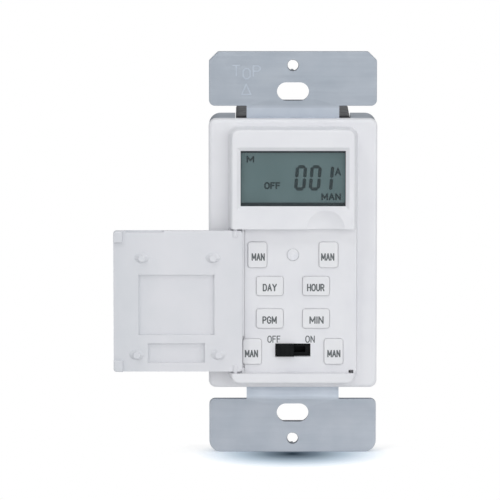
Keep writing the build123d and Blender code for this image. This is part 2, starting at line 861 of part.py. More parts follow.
def door_plate():
    """The skin of the closed door, with the finger lip in its upper edge."""
    plate = prism(door_outline(), door_back_y, face_y)
    plate = fillet(front_edges(plate), door_edge)
    lip_x = around(scoop_x, 2 * scoop_half_width)
    lip_y = (door_back_y - door_thickness / 2, door_back_y + overrun)
    return plate - block(lip_x, lip_y, (door_top_z - lip_depth, door_top_z + overrun))


def door_grooves():
    """Two framed fields on the inner side, sunk a little to clear the keys and the knob."""
    depth = (door_back_y - door_groove, door_back_y + overrun)
    upper = block(around(0, upper_groove_width), depth, (upper_groove_low_z, upper_groove_top_z))
    lower = block(around(0, lower_groove_width), depth,
                  around(slide_z - lower_groove_drop, lower_groove_height))
    return upper + lower


def pressing_nub(x, z):
    """A small blunt cone that presses a key through the closed door."""
    return loft([front_plane(door_back_y) * (Pos(x, z) * Circle(nub_base_radius)).face(),
                 front_plane(nub_tip_y) * (Pos(x, z) * Circle(nub_tip_radius)).face()])


def closed_door():
    door = door_plate() - door_grooves()
    for _, x, z, _, _, _ in manual_keys:
        door += pressing_nub(x, z)
    for end_z, way in ((door_top_z, -1), (door_bottom_z, 1)):
        inner_z = end_z + way * knuckle_length
        door += upright_rod(knuckle_radius, hinge_x, hinge_y, *sorted((end_z, inner_z)))
        tip_z = end_z - way * (hinge_pin_reach)
        door += upright_rod(hinge_pin_radius, hinge_x, hinge_y, *sorted((inner_z, tip_z)))
        tab_z = sorted((end_z, end_z + way * door_tab_length))
        tab = block((door_right_x - door_tab_width, door_right_x),
                    (door_back_y - door_thickness / 2, door_back_y + door_tab_rise), tab_z)
        tab &= prism(door_outline(), door_back_y + door_tab_rise, face_y)
        door += fillet(back_edges(tab), door_edge)
    return door


def timer_door():
    """The door as it stands open, half a turn back about its hinge."""
    return closed_door().rotate(Axis((hinge_x, hinge_y, 0), (0, 0, 1)), 180)


def terminal_pocket(side, z, margin):
    """The side recess of one terminal, or with a margin the walls around it."""
    floor_x = side * (pocket_floor_x - margin)
    past_x = side * (housing_width / 2 + (overrun if margin == 0 else 0))
    return block(sorted((floor_x, past_x)), (pocket_front_y - margin, pocket_back_y + margin),
                 around(z, pocket_height + 2 * margin))


def rear_housing():
    main = prism(RectangleRounded(housing_width, housing_height, housing_corner),
                 housing_back_y, tray_back_y)
    main = fillet(back_edges(main), housing_edge)
    towers = prism(RectangleRounded(tower_width, tower_height, tower_corner),
                   tower_back_y, tray_back_y)
    housing = main + towers
    bay = RectangleRounded(housing_width - 2 * housing_wall, housing_height - 2 * housing_wall,
                           housing_corner - housing_wall / 2)
    housing -= prism(bay, housing_floor_y, tray_back_y - overrun)
    core = Rectangle(tower_core_width, tower_height - 2 * tower_wall)
    housing -= prism(core, tower_back_y - tower_wall, tray_back_y - overrun)
    sides = [(side, end * terminal_z) for side, end in corners]
    for side, z in sides:
        housing += terminal_pocket(side, z, pocket_wall)
    for side, z in sides:
        housing -= terminal_pocket(side, z, 0)
        housing -= side_rod(terminal_screw_radius + near_gap, pocket_mid_y, z,
                            *sorted((side * (pocket_floor_x - overrun), side * housing_width / 2)))
        slit_x = sorted((side * pocket_floor_x, side * (terminal_outer_x + slide_gap)))
        housing -= block(slit_x, (power_back_y - overrun, pocket_front_y + overrun),
                         around(z, terminal_tab_height + 2 * slide_gap))
    for side, end in corners:
        x = side * housing_screw_x
        z = end * housing_screw_z
        housing -= rod(housing_screw_radius + screw_passage, x, z, tray_back_y - overrun,
                       tower_back_y)
        housing -= rod(screw_head_radius + counterbore_gap, x, z, tower_back_y - counterbore_depth,
                       tower_back_y + overrun)
    label = Rectangle(label_width + 2 * slide_gap, label_height + 2 * slide_gap)
    return housing - prism(label, housing_back_y + overrun, housing_back_y - label_thickness)


def rating_label():
    return prism(Rectangle(label_width, label_height), housing_back_y,
                 housing_back_y - label_thickness)


def housing_screws():
    screws = []
    seat_y = tower_back_y - counterbore_depth
    for side, end in corners:
        x = side * housing_screw_x
        z = end * housing_screw_z
        shank = rod(housing_screw_radius, x, z, tray_front_y - housing_screw_bite, seat_y)
        head = rod(screw_head_radius, x, z, seat_y, seat_y + screw_head_height)
        for size in ((driver_slot_width, 2 * screw_head_radius - driver_slot_width),
                     (2 * screw_head_radius - driver_slot_width, driver_slot_width)):
            head -= block(around(x, size[0]), (seat_y + screw_head_height - driver_slot_depth,
                          seat_y + overrun), around(z, size[1]))
        screws.append(shank + head)
    return Compound(children=screws)


def terminal_plates():
    plates = []
    for side, end in corners:
        x_span = sorted((side * pocket_floor_x, side * terminal_outer_x))
        z = end * terminal_z
        plate = block(x_span, around(pocket_mid_y, terminal_plate_length),
                      around(z, terminal_plate_height))
        plate += block(x_span, (power_back_y, pocket_mid_y), around(z, terminal_tab_height))
        plate -= side_rod(terminal_screw_radius + screw_gap, pocket_mid_y, z,
                          x_span[0] - overrun, x_span[1] + overrun)
        plates.append(plate)
    return Compound(children=plates)


def terminal_clamps():
    clamps = []
    for side, end in corners:
        x_span = sorted((side * terminal_outer_x, side * clamp_outer_x))
        z = end * terminal_z
        clamp = block(x_span, around(pocket_mid_y, clamp_length), around(z, clamp_height))
        clamp -= side_rod(terminal_screw_radius + near_gap, pocket_mid_y, z,
                          x_span[0] - overrun, x_span[1] + overrun)
        clamps.append(clamp)
    return Compound(children=clamps)


def terminal_screws():
    screws = []
    head_x = clamp_outer_x + terminal_head_height
    for side, end in corners:
        z = end * terminal_z
        shank = side_rod(terminal_screw_radius, pocket_mid_y, z,
                         *sorted((side * (pocket_floor_x - terminal_screw_reach),
                                  side * clamp_outer_x)))
        head = side_rod(terminal_head_radius, pocket_mid_y, z,
                        *sorted((side * clamp_outer_x, side * head_x)))
        head -= block(sorted((side * (head_x - driver_slot_depth), side * (head_x + overrun))),
                      around(pocket_mid_y, 2 * terminal_head_radius + overrun),
                      around(z, driver_slot_width))
        screws.append(shank + head)
    return Compound(children=screws)


def ground_screw():
    """A hexagonal green screw under the ground tab."""
    head_z = -tray_half_height - terminal_head_height
    shank = upright_rod(ground_screw_radius, ground_tab_x, ground_tab_y, -tray_half_height,
                        -tray_half_height + strap_thickness + ground_screw_reach)
    hexagon = Pos(ground_tab_x, ground_tab_y) * RegularPolygon(terminal_head_radius, 6)
    head = extrude(Plane.XY.offset(head_z) * hexagon, terminal_head_height)
    head -= block(around(ground_tab_x, driver_slot_width),
                  around(ground_tab_y, 2 * terminal_head_radius + overrun),
                  (head_z - overrun, head_z + driver_slot_depth))
    return shank + head


def insulating_barrier():
    """A fibre sheet between the boards, its two side flaps folded back onto the power board."""
    sheet = prism(RectangleRounded(power_width, power_height, housing_corner),
                  barrier_y + barrier_thickness, barrier_y)
    flap_z = around(0, power_height - 2 * housing_corner)
    for side in (-1, 1):
        flap = sorted((side * power_width / 2, side * (power_width / 2 - barrier_thickness)))
        sheet += block(flap, (barrier_y, power_front_y), flap_z)
    opening_x = around(header_x, header_pitch + 2 * near_gap)
    return sheet - block(opening_x, (barrier_y - overrun, barrier_y + barrier_thickness + overrun),
                         around(header_z, header_length + 2 * near_gap))


def power_board():
    return prism(RectangleRounded(power_width, power_height, housing_corner), power_back_y,
                 power_front_y)


def relay():
    case = block(around(0, relay_width), (power_back_y, power_back_y + relay_depth),
                 around(relay_z, relay_height))
    return fillet(back_edges(case), board_corner / 2)


def film_capacitor():
    case = block(around(film_x, film_width), (power_back_y, power_back_y + film_depth),
                 around(film_z, film_height))
    return fillet(back_edges(case), board_corner / 2)


def electrolytic_capacitor():
    can = rod(can_radius, can_x, can_z, power_back_y, power_back_y + can_depth)
    return fillet(back_edges(can), board_corner / 2)


def surge_varistor():
    middle_y = power_back_y + varistor_lead + varistor_radius
    disc = upright_rod(varistor_radius, can_x, middle_y, *around(varistor_z,
                                                                      varistor_thickness))
    disc = fillet(disc.edges().filter_by(GeomType.CIRCLE), varistor_thickness / 4)
    for side in (-1, 1):
        disc += rod(wire_radius, can_x + side * wire_spread, varistor_z, power_back_y, middle_y)
    return disc


def fuse():
    can = rod(fuse_radius, can_x, fuse_z, power_back_y, power_back_y + fuse_depth)
    return fillet(back_edges(can), board_corner / 2)


def bridge_rectifier():
    case = block(around(-corner_part_x, bridge_width), (power_back_y, power_back_y + bridge_depth),
                 around(corner_part_z, bridge_height))
    return chamfer(back_edges(case), bridge_depth / 5)


def power_inductor():
    """A drum core, narrower where its winding lies."""
    top_y = power_back_y + choke_depth
    drum = rod(choke_radius, corner_part_x, corner_part_z, power_back_y, top_y)
    ring = Circle(choke_radius + overrun) - Circle(choke_radius - choke_groove)
    return drum - prism(Pos(corner_part_x, corner_part_z) * ring, top_y - choke_rim,
                        power_back_y + choke_rim)


nodes = {
    "mounting_strap": mounting_strap(),
    "front_cover": front_cover(),
    "display_window": display_window(),
    "lcd_panel": lcd_panel(),
    "lcd_frame": lcd_frame(),
    "zebra_connector": zebra_connector(),
    "control_board": control_board(),
    "board_screws": board_screws(),
    "microcontroller": microcontroller(),
    "clock_crystal": clock_crystal(),
    "backup_battery": backup_battery(),
    "battery_clip": battery_clip(),
    "board_header": board_header(),
    "board_socket": board_socket(),
    "switch_bodies": switch_bodies(),
    "indicator_light_pipe": indicator_light_pipe(),
    "indicator_led": indicator_led(),
    "slide_switch_body": slide_switch_body(),
    "slide_knob": slide_knob(),
    "slide_contact": slide_contact(),
    "timer_door": timer_door(),
    "rear_housing": rear_housing(),
    "rating_label": rating_label(),
    "housing_screws": housing_screws(),
    "terminal_plates": terminal_plates(),
    "terminal_clamps": terminal_clamps(),
    "terminal_screws": terminal_screws(),
    "ground_screw": ground_screw(),
    "insulating_barrier": insulating_barrier(),
    "power_board": power_board(),
    "relay": relay(),
    "film_capacitor": film_capacitor(),
    "electrolytic_capacitor": electrolytic_capacitor(),
    "surge_varistor": surge_varistor(),
    "fuse": fuse(),
    "bridge_rectifier": bridge_rectifier(),
    "power_inductor": power_inductor(),
}
for name, x, z, width, height, stem in keys:
    nodes["key_" + name] = key_cap(x, z, width, height)
    nodes["plunger_" + name] = key_plunger(x, z + stem)

os.makedirs("parts", exist_ok=True)
for node, solid in nodes.items():
    export_step(solid, "parts/" + node + ".step")
print(len(nodes), "nodes written")
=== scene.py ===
# %% [markdown]
# # A timer light switch in its looks
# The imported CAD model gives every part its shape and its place. This lesson lights it, gives each
# part the finish of the real one, and adds what CAD left out: printed words, display segments,
# stamped marks, screw threads and other small trim.

# %% Load the frame
import json
import math

import bmesh
import bpy
from mathutils import Matrix, Vector


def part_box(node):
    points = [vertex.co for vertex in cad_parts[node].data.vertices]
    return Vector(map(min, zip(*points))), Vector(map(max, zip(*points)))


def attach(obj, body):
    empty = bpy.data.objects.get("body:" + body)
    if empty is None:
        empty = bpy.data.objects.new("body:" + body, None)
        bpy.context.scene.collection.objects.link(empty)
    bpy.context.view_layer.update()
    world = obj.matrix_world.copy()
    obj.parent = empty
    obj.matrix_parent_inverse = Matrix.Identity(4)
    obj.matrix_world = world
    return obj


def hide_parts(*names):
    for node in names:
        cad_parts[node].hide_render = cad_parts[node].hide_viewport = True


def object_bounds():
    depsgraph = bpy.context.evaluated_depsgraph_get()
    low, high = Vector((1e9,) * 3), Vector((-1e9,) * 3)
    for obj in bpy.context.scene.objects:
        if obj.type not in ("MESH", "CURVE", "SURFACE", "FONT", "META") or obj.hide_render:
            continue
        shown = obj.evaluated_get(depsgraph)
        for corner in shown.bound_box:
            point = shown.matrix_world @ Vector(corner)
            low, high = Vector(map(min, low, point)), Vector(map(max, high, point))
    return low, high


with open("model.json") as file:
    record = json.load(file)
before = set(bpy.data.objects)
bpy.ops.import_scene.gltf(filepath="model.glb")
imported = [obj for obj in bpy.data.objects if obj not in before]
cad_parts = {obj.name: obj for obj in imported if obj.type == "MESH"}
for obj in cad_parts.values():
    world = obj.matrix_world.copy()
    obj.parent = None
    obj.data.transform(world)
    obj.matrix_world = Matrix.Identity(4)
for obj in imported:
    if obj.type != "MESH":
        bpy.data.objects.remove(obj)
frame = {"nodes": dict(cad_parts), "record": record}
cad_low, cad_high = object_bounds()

MM = 0.001
parts = frame["nodes"]
print("box in mm:", [round(v / MM, 2) for v in (*cad_low, *cad_high)])


# %% [markdown]
# ## The camera
# The photograph was taken from far away with a long lens, a little above the switch, so its upright
# edges stay parallel. A 340 mm lens more than a metre away does the same. The camera aims a
# little left of the strap, because the open door makes the object wider on that side.

# %% Camera
LENS_MM = 340
SENSOR_MM = 36
PICTURE_PIXELS = 500
PIXELS_PER_MM = 3.885
CAMERA_ELEVATION = math.radians(8)
AIM = Vector((-11.0 * MM, 0, 0.55 * MM))

distance = LENS_MM / SENSOR_MM * PICTURE_PIXELS / PIXELS_PER_MM * MM
back = Vector((0, -math.cos(CAMERA_ELEVATION), math.sin(CAMERA_ELEVATION)))
camera_data = bpy.data.cameras.new("camera")
camera_data.lens = LENS_MM
camera_data.sensor_width = SENSOR_MM
camera = bpy.data.objects.new("camera", camera_data)
camera.location = AIM + back * distance
camera.rotation_euler = (-back).to_track_quat("-Z", "Y").to_euler()
bpy.context.scene.collection.objects.link(camera)
bpy.context.scene.camera = camera
bpy.context.scene.view_settings.view_transform = "Standard"
print("camera distance in m:", round(distance, 3))


# %% [markdown]
# ## Colours
# A shader works with linear light, and a picture stores screen values, so one helper turns the
# second into the first. Every finish below starts as a Principled shader, to which patterns are
# added afterwards.

# %% Start of a finish
def screen(red, green, blue):
    """A colour of a picture, 0 to 255, as the linear colour that a shader takes."""
    values = [c / 255 for c in (red, green, blue)]
    return [v / 12.92 if v < 0.04 else ((v + 0.055) / 1.055) ** 2.4 for v in values] + [1.0]


def start_finish(name, colour, roughness, metal=0.0, shine=0.5):
    """A new material with one Principled shader, and that shader."""
    material = bpy.data.materials.new(name)
    material.use_nodes = True
    shader = material.node_tree.nodes["Principled BSDF"]
    shader.inputs["Base Color"].default_value = colour
    shader.inputs["Roughness"].default_value = roughness
    shader.inputs["Metallic"].default_value = metal
    shader.inputs["Specular IOR Level"].default_value = shine
    return material, shader


finishes = {}
print("a picture's middle grey as light:", round(screen(128, 128, 128)[0], 3))


# %% [markdown]
# ## Patterns
# A real surface is never quite even. A pattern of soft spots or of rounded cells may tint the
# colour, vary the roughness or raise a fine relief. Patterns read Object coordinates in metres, so
# a pattern of 0.4 mm is 0.4 mm on every part, and it stays on the part when that moves.

# %% Patterns
def place_pattern(material, stretch=(1, 1, 1)):
    """Object coordinates, with each axis stretched: 0.1 makes the pattern ten times longer."""
    tree = material.node_tree
    coordinates = tree.nodes.new("ShaderNodeTexCoord")
    mapping = tree.nodes.new("ShaderNodeMapping")
    mapping.inputs["Scale"].default_value = stretch
    tree.links.new(coordinates.outputs["Object"], mapping.inputs["Vector"])
    return mapping.outputs["Vector"]


def noise(material, size, detail=3.0, stretch=(1, 1, 1)):
    """Soft random spots of that size in metres, as a value from 0 to 1."""
    spots = material.node_tree.nodes.new("ShaderNodeTexNoise")
    spots.inputs["Scale"].default_value = 1 / size
    spots.inputs["Detail"].default_value = detail
    material.node_tree.links.new(place_pattern(material, stretch), spots.inputs["Vector"])
    return spots.outputs["Fac"]


def cells(material, size, feature="F1"):
    """Small rounded cells, as in a spark-eroded mould, as a value that grows from each centre."""
    grid = material.node_tree.nodes.new("ShaderNodeTexVoronoi")
    grid.feature = feature
    grid.inputs["Scale"].default_value = 1 / size
    material.node_tree.links.new(place_pattern(material), grid.inputs["Vector"])
    return grid.outputs["Distance"]


print("patterns: spots and cells")


# %% [markdown]
# ## From a pattern to a finish
# The middle of a pattern's values is spread over the range that is wanted, and then tints the
# colour or sets the roughness. A relief is built in layers, each of which bends the normal of the
# one below it.

# %% What a pattern may change
def between(material, pattern, low, high, first=0.35, last=0.65):
    """The pattern's values from first to last, spread over low to high."""
    spread = material.node_tree.nodes.new("ShaderNodeMapRange")
    spread.inputs["From Min"].default_value = first
    spread.inputs["From Max"].default_value = last
    spread.inputs["To Min"].default_value = low
    spread.inputs["To Max"].default_value = high
    material.node_tree.links.new(pattern, spread.inputs["Value"])
    return spread.outputs["Result"]


def tint(material, shader, pattern, dark, light, first=0.35, last=0.65):
    """Colours the shader from dark to light as the pattern goes from first to last."""
    tree = material.node_tree
    mix = tree.nodes.new("ShaderNodeMix")
    mix.data_type = "RGBA"
    mix.inputs["A"].default_value = dark
    mix.inputs["B"].default_value = light
    tree.links.new(between(material, pattern, 0, 1, first, last), mix.inputs["Factor"])
    tree.links.new(mix.outputs["Result"], shader.inputs["Base Color"])


def vary_roughness(material, shader, pattern, low, high):
    """Makes the shader smoother or rougher as the pattern goes."""
    spread = between(material, pattern, low, high)
    material.node_tree.links.new(spread, shader.inputs["Roughness"])


def relief(material, shader, *layers):
    """Raises the surface by each layer's pattern, whose full range is that height in metres."""
    tree = material.node_tree
    below = None
    for pattern, height in layers:
        bump = tree.nodes.new("ShaderNodeBump")
        bump.inputs["Distance"].default_value = height
        tree.links.new(pattern, bump.inputs["Height"])
        if below:
            tree.links.new(below, bump.inputs["Normal"])
        below = bump.outputs["Normal"]
    tree.links.new(below, shader.inputs["Normal"])


print("a pattern may tint, vary the roughness and raise a relief")


# %% [markdown]
# ## The floor
# The real switch stands on its lower ear on white paper. The floor is a large flat sheet at the
# foot of the switch, lit by the same lamps, so the switch's own shadow falls on it. Its material is
# put together from single nodes, so two short helpers add a node and join two of them.

# %% Floor
FLOOR_HALF = 1.6


def deselect():
    bpy.ops.object.select_all(action="DESELECT")


def node(kind, operation=None, **values):
    """A new node of the floor or the world, with its inputs set by name."""
    made = tree.nodes.new(kind)
    if operation:
        made.operation = operation
    for name, value in values.items():
        made.inputs[name.replace("_", " ")].default_value = value
    return made


def join(source, target, socket=0, output=0):
    tree.links.new(source.outputs[output], target.inputs[socket])


deselect()
bpy.ops.mesh.primitive_plane_add(size=2 * FLOOR_HALF, location=(0, 0, cad_low.z))
floor = bpy.context.object
floor.name = "floor"
bpy.ops.object.transform_apply(location=True, rotation=True, scale=True)
paper = bpy.data.materials.new("white_paper")
paper.use_nodes = True
floor.data.materials.append(paper)
tree = paper.node_tree
tree.nodes.clear()
print("floor at z in mm:", round(cad_low.z / MM, 2))


# %% [markdown]
# ## A soft shade under the ear
# In the photograph a bluish shade lies on the paper where the ear stands. The distance from that
# place, measured in an ellipse that is wider than it is deep, picks a colour from a ramp. Only a
# camera ray sees the shade, so that it takes no light from the switch.

# %% Shade on the paper
PAPER = (0.86, 0.86, 0.86, 1)
PAPER_GLOW = 0.42
SHADE_REACH = (25.5 * MM, 21 * MM)
SHADE_FORWARD = 4.4 * MM
SHADE_STEPS = [(0.0, (0.012, 0.024, 0.036, 1)), (0.25, (0.17, 0.215, 0.26, 1)),
               (0.52, (0.45, 0.53, 0.6, 1)), (0.78, (0.76, 0.82, 0.88, 1)), (1.0, (1, 1, 1, 1))]

place = node("ShaderNodeTexCoord")
flattened = node("ShaderNodeMapping", Scale=(1 / SHADE_REACH[0], 1 / SHADE_REACH[1], 0),
                 Location=(0, SHADE_FORWARD / SHADE_REACH[1], 0))
shade_distance = node("ShaderNodeVectorMath", "LENGTH")
shade = node("ShaderNodeValToRGB")
shade.color_ramp.elements[0].color = SHADE_STEPS[0][1]
shade.color_ramp.elements[1].color = SHADE_STEPS[-1][1]
for position, colour in SHADE_STEPS[1:-1]:
    shade.color_ramp.elements.new(position).color = colour
join(place, flattened, output="Object")
join(flattened, shade_distance)
join(shade_distance, shade, output="Value")

path = node("ShaderNodeLightPath")
plain_or_shaded = node("ShaderNodeMix")
plain_or_shaded.data_type = "RGBA"
plain_or_shaded.inputs["A"].default_value = (1, 1, 1, 1)
join(path, plain_or_shaded, "Factor", "Is Camera Ray")
join(shade, plain_or_shaded, "B")
shaded_paper = node("ShaderNodeVectorMath", "MULTIPLY")
shaded_paper.inputs[1].default_value = PAPER[:3]
join(plain_or_shaded, shaded_paper, 0, "Result")
sheet = node("ShaderNodeBsdfDiffuse")
join(shaded_paper, sheet, "Color")
glow = node("ShaderNodeEmission", Strength=PAPER_GLOW)
join(plain_or_shaded, glow, "Color", "Result")
near = node("ShaderNodeAddShader")
join(sheet, near, 0)
join(glow, near, 1)
print("steps of the shade:", len(shade.color_ramp.elements))


# %% [markdown]
# ## White beyond the shade
# The photograph's background is pure white. Outside the shade's ellipse, and a little behind the
# ear, the paper goes over into an even white. Camera, glossy and clear rays see that white, and all
# others see plain paper, so the light on the switch stays as the lamps make it.

# %% White beyond the shade
WHITE_AROUND = (0.95, 1.25)
WHITE_BEHIND = (0.5 * MM, 10 * MM)

around = node("ShaderNodeMapRange", From_Min=WHITE_AROUND[0], From_Max=WHITE_AROUND[1])
join(shade_distance, around, "Value", "Value")
axes = node("ShaderNodeSeparateXYZ")
join(place, axes, output="Object")
behind = node("ShaderNodeMapRange", From_Min=WHITE_BEHIND[0], From_Max=WHITE_BEHIND[1])
join(axes, behind, "Value", "Y")
fade = node("ShaderNodeMath", "MAXIMUM")
join(around, fade, 0, "Result")
join(behind, fade, 1, "Result")
white = node("ShaderNodeEmission")
near_or_white = node("ShaderNodeMixShader")
join(fade, near_or_white, "Fac")
join(near, near_or_white, 1)
join(white, near_or_white, 2)

camera_or_glossy = node("ShaderNodeMath", "MAXIMUM")
seen = node("ShaderNodeMath", "MAXIMUM")
join(path, camera_or_glossy, 0, "Is Camera Ray")
join(path, camera_or_glossy, 1, "Is Glossy Ray")
join(camera_or_glossy, seen, 0)
join(path, seen, 1, "Is Transmission Ray")
plain_sheet = node("ShaderNodeBsdfDiffuse", Color=PAPER)
plain_or_seen = node("ShaderNodeMixShader")
join(seen, plain_or_seen, "Fac")
join(plain_sheet, plain_or_seen, 1)
join(near_or_white, plain_or_seen, 2)
join(plain_or_seen, node("ShaderNodeOutputMaterial"), "Surface")
print("nodes of the paper:", len(tree.nodes))


# %% [markdown]
# ## The studio light
# Plain soft light: a large softbox in front, a second one over the switch that makes the shadow
# under it, and weaker ones at the sides and behind. The left one is small and high, so that it draws
# the low steps of the door. The world is a pale even light, and the camera sees it as white.

# %% Lamps and world
SOFTBOXES = [  # name, place and size in metres, power in watts, colour
    ("front_softbox", (0.3, -1.45, 0.3), 1.1, 7.8, (1, 1, 1)),
    ("overhead_softbox", (0.0, -0.15, 1.1), 0.6, 2.0, (1.0, 0.98, 0.95)),
    ("right_softbox", (1.2, -0.9, 0.35), 0.6, 2.0, (1, 1, 1)),
    ("left_softbox", (-0.5, -0.72, 1.0), 0.22, 2.1, (1, 1, 1)),
    ("rear_softbox", (0.3, 1.3, 0.7), 0.9, 1.2, (1, 1, 1))]
WORLD_LIGHT = (0.47, 0.485, 0.50, 1)
WORLD_SEEN = (1, 1, 1, 1)

for name, lamp_place, size, power, colour in SOFTBOXES:
    data = bpy.data.lights.new(name, "AREA")
    data.size = size
    data.energy = power
    data.color = colour
    lamp = bpy.data.objects.new(name, data)
    lamp.location = lamp_place
    lamp.rotation_euler = (-Vector(lamp_place)).to_track_quat("-Z", "Y").to_euler()
    bpy.context.scene.collection.objects.link(lamp)

world = bpy.data.worlds.new("studio")
world.use_nodes = True
bpy.context.scene.world = world
tree = world.node_tree
tree.nodes.clear()
path = node("ShaderNodeLightPath")
lit_or_seen = node("ShaderNodeMixShader")
join(path, lit_or_seen, "Fac", "Is Camera Ray")
join(node("ShaderNodeBackground", Color=WORLD_LIGHT), lit_or_seen, 1)
join(node("ShaderNodeBackground", Color=WORLD_SEEN), lit_or_seen, 2)
join(lit_or_seen, node("ShaderNodeOutputWorld"), "Surface")
print("lamps:", [lamp[0] for lamp in SOFTBOXES])


# %% [markdown]
# ## Shade by place
# A few shades follow the shape and not a pattern: a cut edge, a bend, an end that fingers touch.
# Object coordinates tell where a point lies, and its normal tells which way it faces. A little
# arithmetic with them gives an amount from 0 to 1, by which a colour is multiplied on.

# %% Helpers for places
def calculate(material, operation, first, second=None):
    """One step of arithmetic. The first value is a socket, the second a socket or a number."""
    step = material.node_tree.nodes.new("ShaderNodeMath")
    step.operation = operation
    material.node_tree.links.new(first, step.inputs[0])
    if isinstance(second, float):
        step.inputs[1].default_value = second
    elif second is not None:
        material.node_tree.links.new(second, step.inputs[1])
    return step.outputs[0]


def split_axes(material, output):
    """The X, Y and Z of the object's coordinates or of its surface direction."""
    tree = material.node_tree
    coordinates = tree.nodes.new("ShaderNodeTexCoord")
    axes = tree.nodes.new("ShaderNodeSeparateXYZ")
    tree.links.new(coordinates.outputs[output], axes.inputs["Vector"])
    return axes.outputs


def multiply_colour(material, shader, colour, amount):
    """Multiplies the shader's colour by another one, by an amount from 0 to 1."""
    tree = material.node_tree
    mix = tree.nodes.new("ShaderNodeMix")
    mix.data_type = "RGBA"
    mix.blend_type = "MULTIPLY"
    mix.clamp_result = False
    tree.links.new(shader.inputs["Base Color"].links[0].from_socket, mix.inputs["A"])
    mix.inputs["B"].default_value = colour
    tree.links.new(amount, mix.inputs["Factor"])
    tree.links.new(mix.outputs["Result"], shader.inputs["Base Color"])


print("shades by place: ready")


# %% [markdown]
# ## Zinc-plated sheet
# The strap is stamped from rolled steel and then zinc plated: a satin, slightly bluish grey. Rolling
# leaves very fine lines along the sheet, and plating leaves faint clouds of brighter and duller
# metal. Both go into roughness and colour, with a relief of a few thousandths of a millimetre.

# %% Zinc
ZINC_METAL = 0.35
CLOUD_SIZE = 6 * MM
ROLLED_SIZE = 0.5 * MM
ROLLED_STRETCH = (0.04, 1, 1)
GRAIN_SIZE = 0.12 * MM

zinc, shader = start_finish("zinc_steel", screen(172, 180, 190), 0.5, metal=ZINC_METAL)
rolled = noise(zinc, ROLLED_SIZE, 4, stretch=ROLLED_STRETCH)
tint(zinc, shader, noise(zinc, CLOUD_SIZE, 4), screen(161, 169, 179), screen(169, 176, 185), 0.3, 0.7)
vary_roughness(zinc, shader, rolled, 0.42, 0.58)
relief(zinc, shader, (rolled, 0.004 * MM), (noise(zinc, GRAIN_SIZE, 2), 0.002 * MM))
finishes["zinc_steel"] = zinc
print("zinc made")


# %% [markdown]
# ## Where the zinc is brighter or duller
# The bends that step down to the tray are painted brighter: a painted highlight for the light that
# they catch. The lower ear is painted brighter too, as painted light from the paper. The cut
# edges and the walls of the holes are painted darker: partly the duller bare steel of a cut, partly
# painted shade on faces that turn away from the room. The stamp burnished the bottom of its
# strokes. Each is one amount, made from a point's height, its depth or the way it faces.

# %% Bends, edges and stamp in the zinc
BEND_START, BEND_FULL = 34.0 * MM, 34.8 * MM
BEND_LEFT, BEND_END = 37.2 * MM, 38.4 * MM
# Painted highlight: the bends that step down to the tray are made brighter by this colour.
BEND_PAINTED_LIGHT = (1.42, 1.41, 1.4, 1)
LOWER_EAR = (-40 * MM, -37 * MM)
# Painted light: the lower ear is made brighter by this colour.
LOWER_EAR_PAINTED_LIGHT = (1.14, 1.12, 1.11, 1)
CUT_FACING = (0.25, 0.6)
CUT_BEHIND = (-1.22 * MM, -1.05 * MM)
# Partly the duller bare steel of a cut, partly painted shade on faces turned away from the room.
CUT_SHADE = (0.6, 0.6, 0.61, 1)
STAMP_FLOOR_Y = -1.16 * MM
STAMP_NEAR = (0.02 * MM, 0.06 * MM)
STAMP_LIGHT = (1.3, 1.3, 1.3, 1)

axes = split_axes(zinc, "Object")
height = calculate(zinc, "ABSOLUTE", axes["Z"])
# Painted highlight on the bends, taken back again past them on the ears.
multiply_colour(zinc, shader, BEND_PAINTED_LIGHT, between(zinc, height, 0, 1, BEND_START, BEND_FULL))
past_bend = between(zinc, height, 0, 1, BEND_LEFT, BEND_END)
multiply_colour(zinc, shader, [1 / c for c in BEND_PAINTED_LIGHT], past_bend)
# Painted light on the lower ear.
multiply_colour(zinc, shader, LOWER_EAR_PAINTED_LIGHT, between(zinc, axes["Z"], 1, 0, *LOWER_EAR))

# Painted shade, partly bare steel: faces that turn away from the room are made darker.
facing_room = calculate(zinc, "ABSOLUTE", split_axes(zinc, "Normal")["Y"])
sheared_and_shaded = calculate(zinc, "MULTIPLY", between(zinc, facing_room, 1, 0, *CUT_FACING),
                    between(zinc, axes["Y"], 0, 1, *CUT_BEHIND))
multiply_colour(zinc, shader, CUT_SHADE, sheared_and_shaded)

from_floor = calculate(zinc, "ABSOLUTE", calculate(zinc, "SUBTRACT", axes["Y"], STAMP_FLOOR_Y))
stamped = calculate(zinc, "MULTIPLY", between(zinc, from_floor, 1, 0, *STAMP_NEAR), past_bend)
multiply_colour(zinc, shader, STAMP_LIGHT, stamped)
print("places in the zinc: bends, lower ear, cut edges, stamp")


# %% [markdown]
# ## White mouldings
# Cover, door and keys are moulded in the same white plastic. The mould's fine spark-eroded texture
# makes them satin, and tiny differences in flow and handling show as very faint clouds. The three
# parts differ a little in shade, as parts from different moulds do. The door is painted a little
# greyer towards its free edge: a painted shade where less light reaches it.

# %% White plastics
FLOW_SIZE = 9 * MM
HANDLING_SIZE = 1.1 * MM
SPARK_SIZE = 0.22 * MM
WAVE_SIZE = 3 * MM
# Painted shade: the door is made greyer towards its free edge.
DOOR_SHADED_SPAN = (-33 * MM, -45 * MM)
DOOR_PAINTED_SHADE = (0.91, 0.925, 0.93, 1)


def white_moulding(name, colour, shade, roughness):
    """A satin moulding of that colour, with clouds of a slightly darker shade."""
    material, shader = start_finish(name, colour, roughness, shine=0.45)
    tint(material, shader, noise(material, FLOW_SIZE, 3), shade, colour, 0.3, 0.6)
    vary_roughness(material, shader, noise(material, HANDLING_SIZE, 3),
                   roughness - 0.06, roughness + 0.08)
    relief(material, shader, (cells(material, SPARK_SIZE), 0.004 * MM),
           (noise(material, WAVE_SIZE, 2), 0.01 * MM))
    finishes[name] = material


